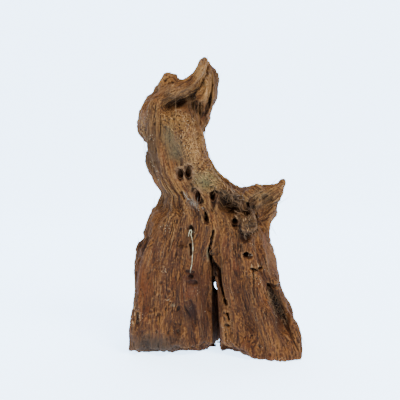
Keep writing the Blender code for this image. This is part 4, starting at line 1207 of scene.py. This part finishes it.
def strand_tree():
    tree, given = geometry_tree("strands", STRAND_SIZES, PLACE_AND_FINISH)
    spread = scattered(tree, given, 11)

    # Each strand lies along the grain, one way or the other, then strays a little and lifts off the skin.
    back = add(tree, LESS, (add(tree, RANDOM_NUMBER, {2: 0.0, 3: 1.0, 8: 1}, 1), given["Turned back"]))
    sense = add(tree, TIMES_PLUS, (back, -2.0, 1.0))
    way = add(tree, VECTOR_TIMES, {0: add(tree, CARRIED_VECTOR, ("way",)), "Scale": sense})
    along = add(tree, POINT_Z_ALONG, {2: way})
    lying = add(tree, POINT_Y_ALONG, {0: along, 2: spread["Normal"]})
    lift = add(tree, TIMES, (given["Lift"], add(tree, RANDOM_NUMBER, {2: -1.2, 3: -0.1, 8: 2}, 1)))
    stray = add(tree, TIMES, (given["Stray"], add(tree, RANDOM_NUMBER, {2: -1.0, 3: 1.0, 8: 3}, 1)))
    lifted = turned(tree, turned(tree, lying, (0, 1, 0), stray), (1, 0, 0), lift)

    line = add(tree, "GeometryNodeCurvePrimitiveLine", ((0, 0, -BURIED_SHARE), (0, 0, 1)))
    fine_line = add(tree, "GeometryNodeResampleCurve", {0: line, "Count": STRAND_POINTS})
    longest = add(tree, TIMES, (given["Length"], MM))
    length = add(tree, TIMES, (longest, add(tree, RANDOM_NUMBER, {2: 0.4, 3: 1.3, 8: 4}, 1)))
    size = add(tree, "ShaderNodeCombineXYZ", (1.0, 1.0, length))
    curves = stood_up(tree, spread["Points"], fine_line, lifted, size)

    # It curls more and more towards its tip, and grows thinner.
    share = add(tree, "GeometryNodeSplineParameter")
    per_metre = add(tree, OVER, (1.0 / MM, given["Curl width"]))
    links = {"Vector": add(tree, "GeometryNodeInputPosition"), "Scale": per_metre, "Detail": 2.0}
    aside = add(tree, VECTOR_MINUS, (add(tree, "ShaderNodeTexNoise", links, "Color"), (0.5, 0.5, 0.5)))
    curl = add(tree, TIMES, (add(tree, TIMES, (given["Curl"], 4 * MM)), share))
    bend = add(tree, VECTOR_TIMES, {0: aside, "Scale": curl})
    curled = add(tree, "GeometryNodeSetPosition", {0: curves, "Offset": bend})

    profile = add(tree, "GeometryNodeCurvePrimitiveCircle", {"Resolution": STRAND_SIDES, "Radius": 1.0})
    narrowing = add(tree, MINUS, (given["Tip share"], 1.0))
    taper = add(tree, TIMES_PLUS, (add(tree, TIMES, (share, share)), narrowing, 1.0))
    radius = add(tree, TIMES, (add(tree, TIMES, (given["Thickness"], 0.5 * MM)), taper))
    links = {"Curve": curled, "Profile Curve": profile, "Scale": radius, "Fill Caps": True}
    return finished(tree, add(tree, "GeometryNodeCurveToMesh", links), given)


# %% The grain tree
GRAIN_SIZES = {"Apart": 1.2, "Size": 0.9}


def grain_tree():
    tree, given = geometry_tree("grains", GRAIN_SIZES, PLACE_AND_FINISH)
    spread = scattered(tree, given, 5)
    radius = add(tree, TIMES, (given["Size"], 0.5 * MM))
    ball = add(tree, "GeometryNodeMeshIcoSphere", {"Radius": radius, "Subdivisions": 2}, "Mesh")
    uneven = add(tree, RANDOM_VECTOR, {0: (0.45, 0.45, 0.45), 1: (1.2, 1.2, 1.2), 8: 6})
    spin = add(tree, RANDOM_NUMBER, {2: 0.0, 3: 6.28, 8: 7}, 1)
    turn = add(tree, "FunctionNodeAxisAngleToRotation", ((0.3, 0.8, 0.5), spin))
    grains = stood_up(tree, spread["Points"], ball, turn, uneven)
    return finished(tree, add(tree, "GeometryNodeSetShadeSmooth", (grains,)), given)


# %% Where they grow
# Each row is x, z, half width in millimetres, and how dense they stand, from 0 to 1.
GROWS = {
    "ropy": {
        "cup": ((4, 149, 4, 0.8), (12, 145, 6, 1.0), (19, 139, 6, 1.0), (23, 133, 4, 0.8)),
        "groove of the right root": ((47.4, 63, 2.5, 0.7), (51.5, 54, 4, 1), (57, 43.5, 4.5, 1),
                                     (63, 32, 3.5, 0.8)),
        "under the knob": ((22, 114, 3, 0.4), (30, 112, 4, 0.5), (36, 115, 3, 0.4)),
    },
    "bearded": {
        "hollow of the hood": ((-46, 228, 3, 0.4), (-34, 233, 4, 0.5), (-24, 230, 7, 1.0), (-12, 220, 6, 1.0)),
        "side of the second hollow": ((-18, 214, 4, 0.8), (-12, 206, 4, 0.8)),
    },
    "curly": {
        "dome and right of the neck": ((-40, 217, 9, 0.5), (-26, 207, 10, 0.8), (-20, 192, 8, 1),
                                       (-12, 177, 7, 0.8)),
        "green swelling": ((-10, 165, 5, 0.6), (4, 158, 6, 0.6)),
        "knob": ((27, 122, 3, 0.4), (34, 122, 3, 0.4)),
        "bump": ((-46, 243, 4, 0.3), (-40, 243, 4, 0.4)),
    },
    "flaky": {
        "under the bored holes": ((-26, 145, 2.5, 0.8), (-20, 140, 3, 1.0), (-14, 135, 2.2, 0.8)),
        "rim of the cup": ((14, 151, 1.2, 0.3), (26, 143, 1.5, 0.4)),
    },
    "splintery": {
        "spur tip": ((60, 154, 3, 0.5), (64, 157, 2, 0.6)),
        "prong": ((-14, 262, 2, 0.5), (-12, 264, 2, 0.5)),
        "plate": ((-8, 248, 1.5, 0.4), (-4, 256, 1.5, 0.5)),
        "cup rim": ((8, 133, 1.5, 0.4), (20, 126, 1.5, 0.5)),
        "knob": ((26, 128, 2, 0.4), (35, 127, 2, 0.5)),
        "notch": ((33, 84, 1.5, 0.5), (41, 84, 1.5, 0.6)),
        "left edge": ((-73, 52, 2, 0.4), (-74, 30, 2, 0.4)),
    },
    "sandy": {
        "neck right": ((-27, 192, 2.5, 0.5), (-23, 187, 2.5, 0.7)),
        "dome": ((-30, 214, 5, 0.12), (-20, 204, 5, 0.12)),
        "left of the neck": ((-54, 172, 2, 0.2), (-52, 160, 2, 0.2)),
        "beside the split": ((-10.2, 47, 0.8, 0.7), (-10.2, 30, 0.8, 0.7)),
        "groove": ((52, 52, 3, 0.2), (58, 40, 3, 0.3)),
        "cup": ((8, 147, 4, 0.2), (16, 141, 4, 0.3)),
        "pit with grains": ((26, 95, 2.5, 0.5), (31, 94, 2.5, 0.6)),
        "under the notch": ((44, 88, 3, 0.2), (46, 78, 3, 0.2)),
    },
}
HAIR_SHARE = 0.5
HAIRY_RIB = 0.3
CLEAR_OF_GROUND = 20.0
CLEAR_OF_SPLIT = 4.0


def growth_of(points, normals, places):
    """How dense something grows at each point: along its lines, on the front, and never at the ground."""
    facing = np.clip((-normals[:, 1] + 0.1) / 0.3, 0, 1)
    clear = points[:, 2] > CLEAR_OF_GROUND * MM
    return np.clip(depth_of(points, places, 1.6, 1.0), 0, 1) * facing * clear


for kind, places in GROWS.items():
    store(skin, kind, growth_of(points, normals, places))
x, y, z = points.T / MM
past_split = (z > SPLIT_FRONT[-1][0]) | (np.abs(x - split_middle(y, z)) > CLEAR_OF_SPLIT)
on_ribs = np.clip(-fine_depth / HAIRY_RIB, 0, 1)
hairy = HAIR_SHARE * on_ribs * coarse * calm * (past_split & (z > CLEAR_OF_GROUND))
store(skin, "hairy", hairy)
print("kinds that grow:", ", ".join(GROWS))


# %% Finishes of what is loose
LOOSE_SPECULAR = 0.2


def loose_finish(name, dark, light, roughness):
    """Each fibre or grain has a tone of its own between two colours, so that a tuft isn't one flat colour."""
    made, tree, inputs = new_finish(name, roughness, LOOSE_SPECULAR)
    own = add(tree, "ShaderNodeNewGeometry", (), "Random Per Island")
    tree.links.new(add(tree, MIX, {0: own, 6: dark, 7: light}, 2), inputs["Base Color"])
    return made


# Torn heartwood fibre: brown threads, some as dark as the slits, some bleached.
torn_fibre = loose_finish("torn_heartwood_fibre", "#2b1a0e", "#6a4e31", 0.85)
# Strands in the hollows: darker, still damp and so a little glossy.
damp_strand = loose_finish("damp_heartwood_strand", "#24170c", "#735538", 0.6)
# Fibres under the hood and short curls on the worn neck: dry, ochre, the tips bleached.
dry_fibre = loose_finish("dry_ochre_fibre", "#24140a", "#644322", 0.85)
curled_fibre = loose_finish("curled_bleached_fibre", "#4e3219", "#a87c4a", 0.85)
# Bleached sapwood flakes: dull, greyish and paler than anything round them.
bleached_flake = loose_finish("bleached_sapwood_flake", "#40352a", "#857868", 0.9)
# Splinters of fresh break: a little redder and lighter than the weathered skin.
broken_wood = loose_finish("broken_heartwood", "#3c2412", "#80603e", 0.8)
# Quartz sand: pale grains, from grey to cream, with a faint shine.
quartz_sand = loose_finish("quartz_sand", "#5c4f40", "#b8a98c", 0.5)


# %% Grown from the skin
CARRIED = {*carried, *GROWS, "hairy", "stain", "stain_share", "fine_depth", "wide_depth", "skin_normal"}


def loose_piece(name, tree, where, finish, slot, **sizes):
    """A piece grown from the skin, without the values that the skin carries."""
    named_sizes = {key.replace("_", " "): size for key, size in sizes.items()}
    mesh = with_tree(skin, name, tree, {"Where": where, "Finish": finish, **named_sizes})
    for extra in [item.name for item in mesh.attributes if item.name in CARRIED]:
        mesh.attributes.remove(mesh.attributes[extra])
    mesh.polygons.foreach_set("material_index", np.zeros(len(mesh.polygons), np.int32))
    mesh.materials.clear()
    mesh.materials.append(finish)
    piece = placed(name, mesh)
    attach(piece, "root")
    print(name, len(mesh.polygons), "faces")


strands, grains = strand_tree(), grain_tree()
loose_piece("fine_hairs", strands, "hairy", torn_fibre, "trunk_wood", Apart=3.4, Length=13, Thickness=0.4,
            Lift=0.08, Stray=0.15, Curl=0.5)
loose_piece("ropy_strands", strands, "ropy", damp_strand, "trunk_wood", Apart=1.2, Length=6, Thickness=0.95,
            Tip_share=0.5, Lift=0.15, Stray=1.3, Curl=2.2, Curl_width=3.5)
loose_piece("hood_fibres", strands, "bearded", dry_fibre, "crown_wood", Apart=1.3, Length=12, Thickness=0.7,
            Lift=0.06, Stray=0.3, Curl=0.9)
loose_piece("neck_curls", strands, "curly", curled_fibre, "neck_wood", Apart=1.4, Length=3.0, Thickness=0.45,
            Tip_share=0.6, Lift=0.25, Stray=1.2, Curl=1.8, Curl_width=3.0)
loose_piece("pale_flakes", strands, "flaky", bleached_flake, "trunk_wood", Apart=1.1, Length=5, Thickness=0.6,
            Lift=0.15, Stray=0.9, Curl=1.8, Curl_width=3.0)
loose_piece("splinters", strands, "splintery", broken_wood, "crown_wood", Apart=1.5, Length=3.2, Thickness=1.4,
            Tip_share=0.3, Lift=0.35, Stray=0.3, Turned_back=0.1, Curl=0.4)
loose_piece("sand_grains", grains, "sandy", quartz_sand, "pale_rootlet", Apart=1.1, Size=0.65)

# %% [markdown]
# ## The stage and the light
# A pale sweep of matt paper stands in for the ground, and its far edge curves up so that no horizon shows. It
# glows a little, as paper lit from behind does, so that it comes out almost white. The light is soft: a bright
# sky all round, one wide lamp high on the right and a weak one on the left.

# %% Stage
PAPER = "#eaf4fc"
PAPER_GLOW = "#bcdcff"
GLOW_STRENGTH = 4.5
PAPER_HALF_WIDTH = 2.5
PAPER_FRONT, PAPER_TURN, PAPER_TOP = -1.6, 0.5, 2.6
PAPER_BEND = 0.6
PAPER_STEPS = 12
SKY = "#fbf2e8"
SKY_STRENGTH = 1.0
# Name, place, aim, size in metres, power in watts, colour.
LAMPS = (
    ("key", (0.5, -0.6, 1.15), (0, 0, 0.14), 0.55, 24, "#fffaf2"),
    ("fill", (-0.9, -0.7, 0.5), (0, 0, 0.12), 0.8, 4.5, "#f4f8ff"),
)


def paper_sweep():
    """Level paper that bends up behind the object."""
    angles = [math.radians(90 * step / PAPER_STEPS) for step in range(1, PAPER_STEPS + 1)]
    arc = [(PAPER_TURN + PAPER_BEND * math.sin(a), PAPER_BEND - PAPER_BEND * math.cos(a)) for a in angles]
    profile = [(PAPER_FRONT, 0), (PAPER_TURN, 0), *arc, (PAPER_TURN + PAPER_BEND, PAPER_TOP)]
    bm = bmesh.new()
    rows = [[bm.verts.new((x, y, z)) for x in (-PAPER_HALF_WIDTH, PAPER_HALF_WIDTH)] for y, z in profile]
    for (a, b), (c, d) in zip(rows, rows[1:]):
        bm.faces.new((a, b, d, c))
    mesh = closed(bm, "paper_sweep")
    mesh.shade_smooth()
    made, _, inputs = new_finish("matt_paper", 0.9, 0.1)
    inputs["Base Color"].default_value = (*linear(PAPER), 1.0)
    inputs["Emission Color"].default_value = (*linear(PAPER_GLOW), 1.0)
    inputs["Emission Strength"].default_value = GLOW_STRENGTH
    mesh.materials.append(made)
    return placed("paper_sweep", mesh)


def soft_lamp(name, place, aim, size, power, colour):
    data = bpy.data.lights.new(name, "AREA")
    data.shape, data.size, data.energy, data.color = "DISK", size, power, linear(colour)
    lamp = placed(name, data)
    lamp.location = place
    lamp.rotation_euler = (Vector(aim) - Vector(place)).to_track_quat("-Z", "Y").to_euler()


paper_sweep()
for lamp in LAMPS:
    soft_lamp(*lamp)
sky = bpy.data.worlds.new("sky")
sky.use_nodes = True
sky_inputs = sky.node_tree.nodes["Background"].inputs
sky_inputs["Color"].default_value = (*linear(SKY), 1.0)
sky_inputs["Strength"].default_value = SKY_STRENGTH
bpy.context.scene.world = sky

# %% Camera
CAMERA_AIM = Vector((-13.9, 0.0, 137.3)) * MM
CAMERA_DISTANCE = 0.9
CAMERA_RISE = math.radians(10)
SENSOR = 36.0
FOCAL_PIXELS = 974.0
IMAGE_PIXELS = 400.0
camera_data = bpy.data.cameras.new("camera")
camera_data.sensor_width = SENSOR
camera_data.lens = FOCAL_PIXELS / IMAGE_PIXELS * SENSOR
camera_data.clip_start = 0.05
camera = placed("camera", camera_data)
back = Vector((0, -math.cos(CAMERA_RISE), math.sin(CAMERA_RISE)))
camera.location = CAMERA_AIM + back * CAMERA_DISTANCE
camera.rotation_euler = (math.pi / 2 - CAMERA_RISE, 0, 0)
bpy.context.scene.camera = camera
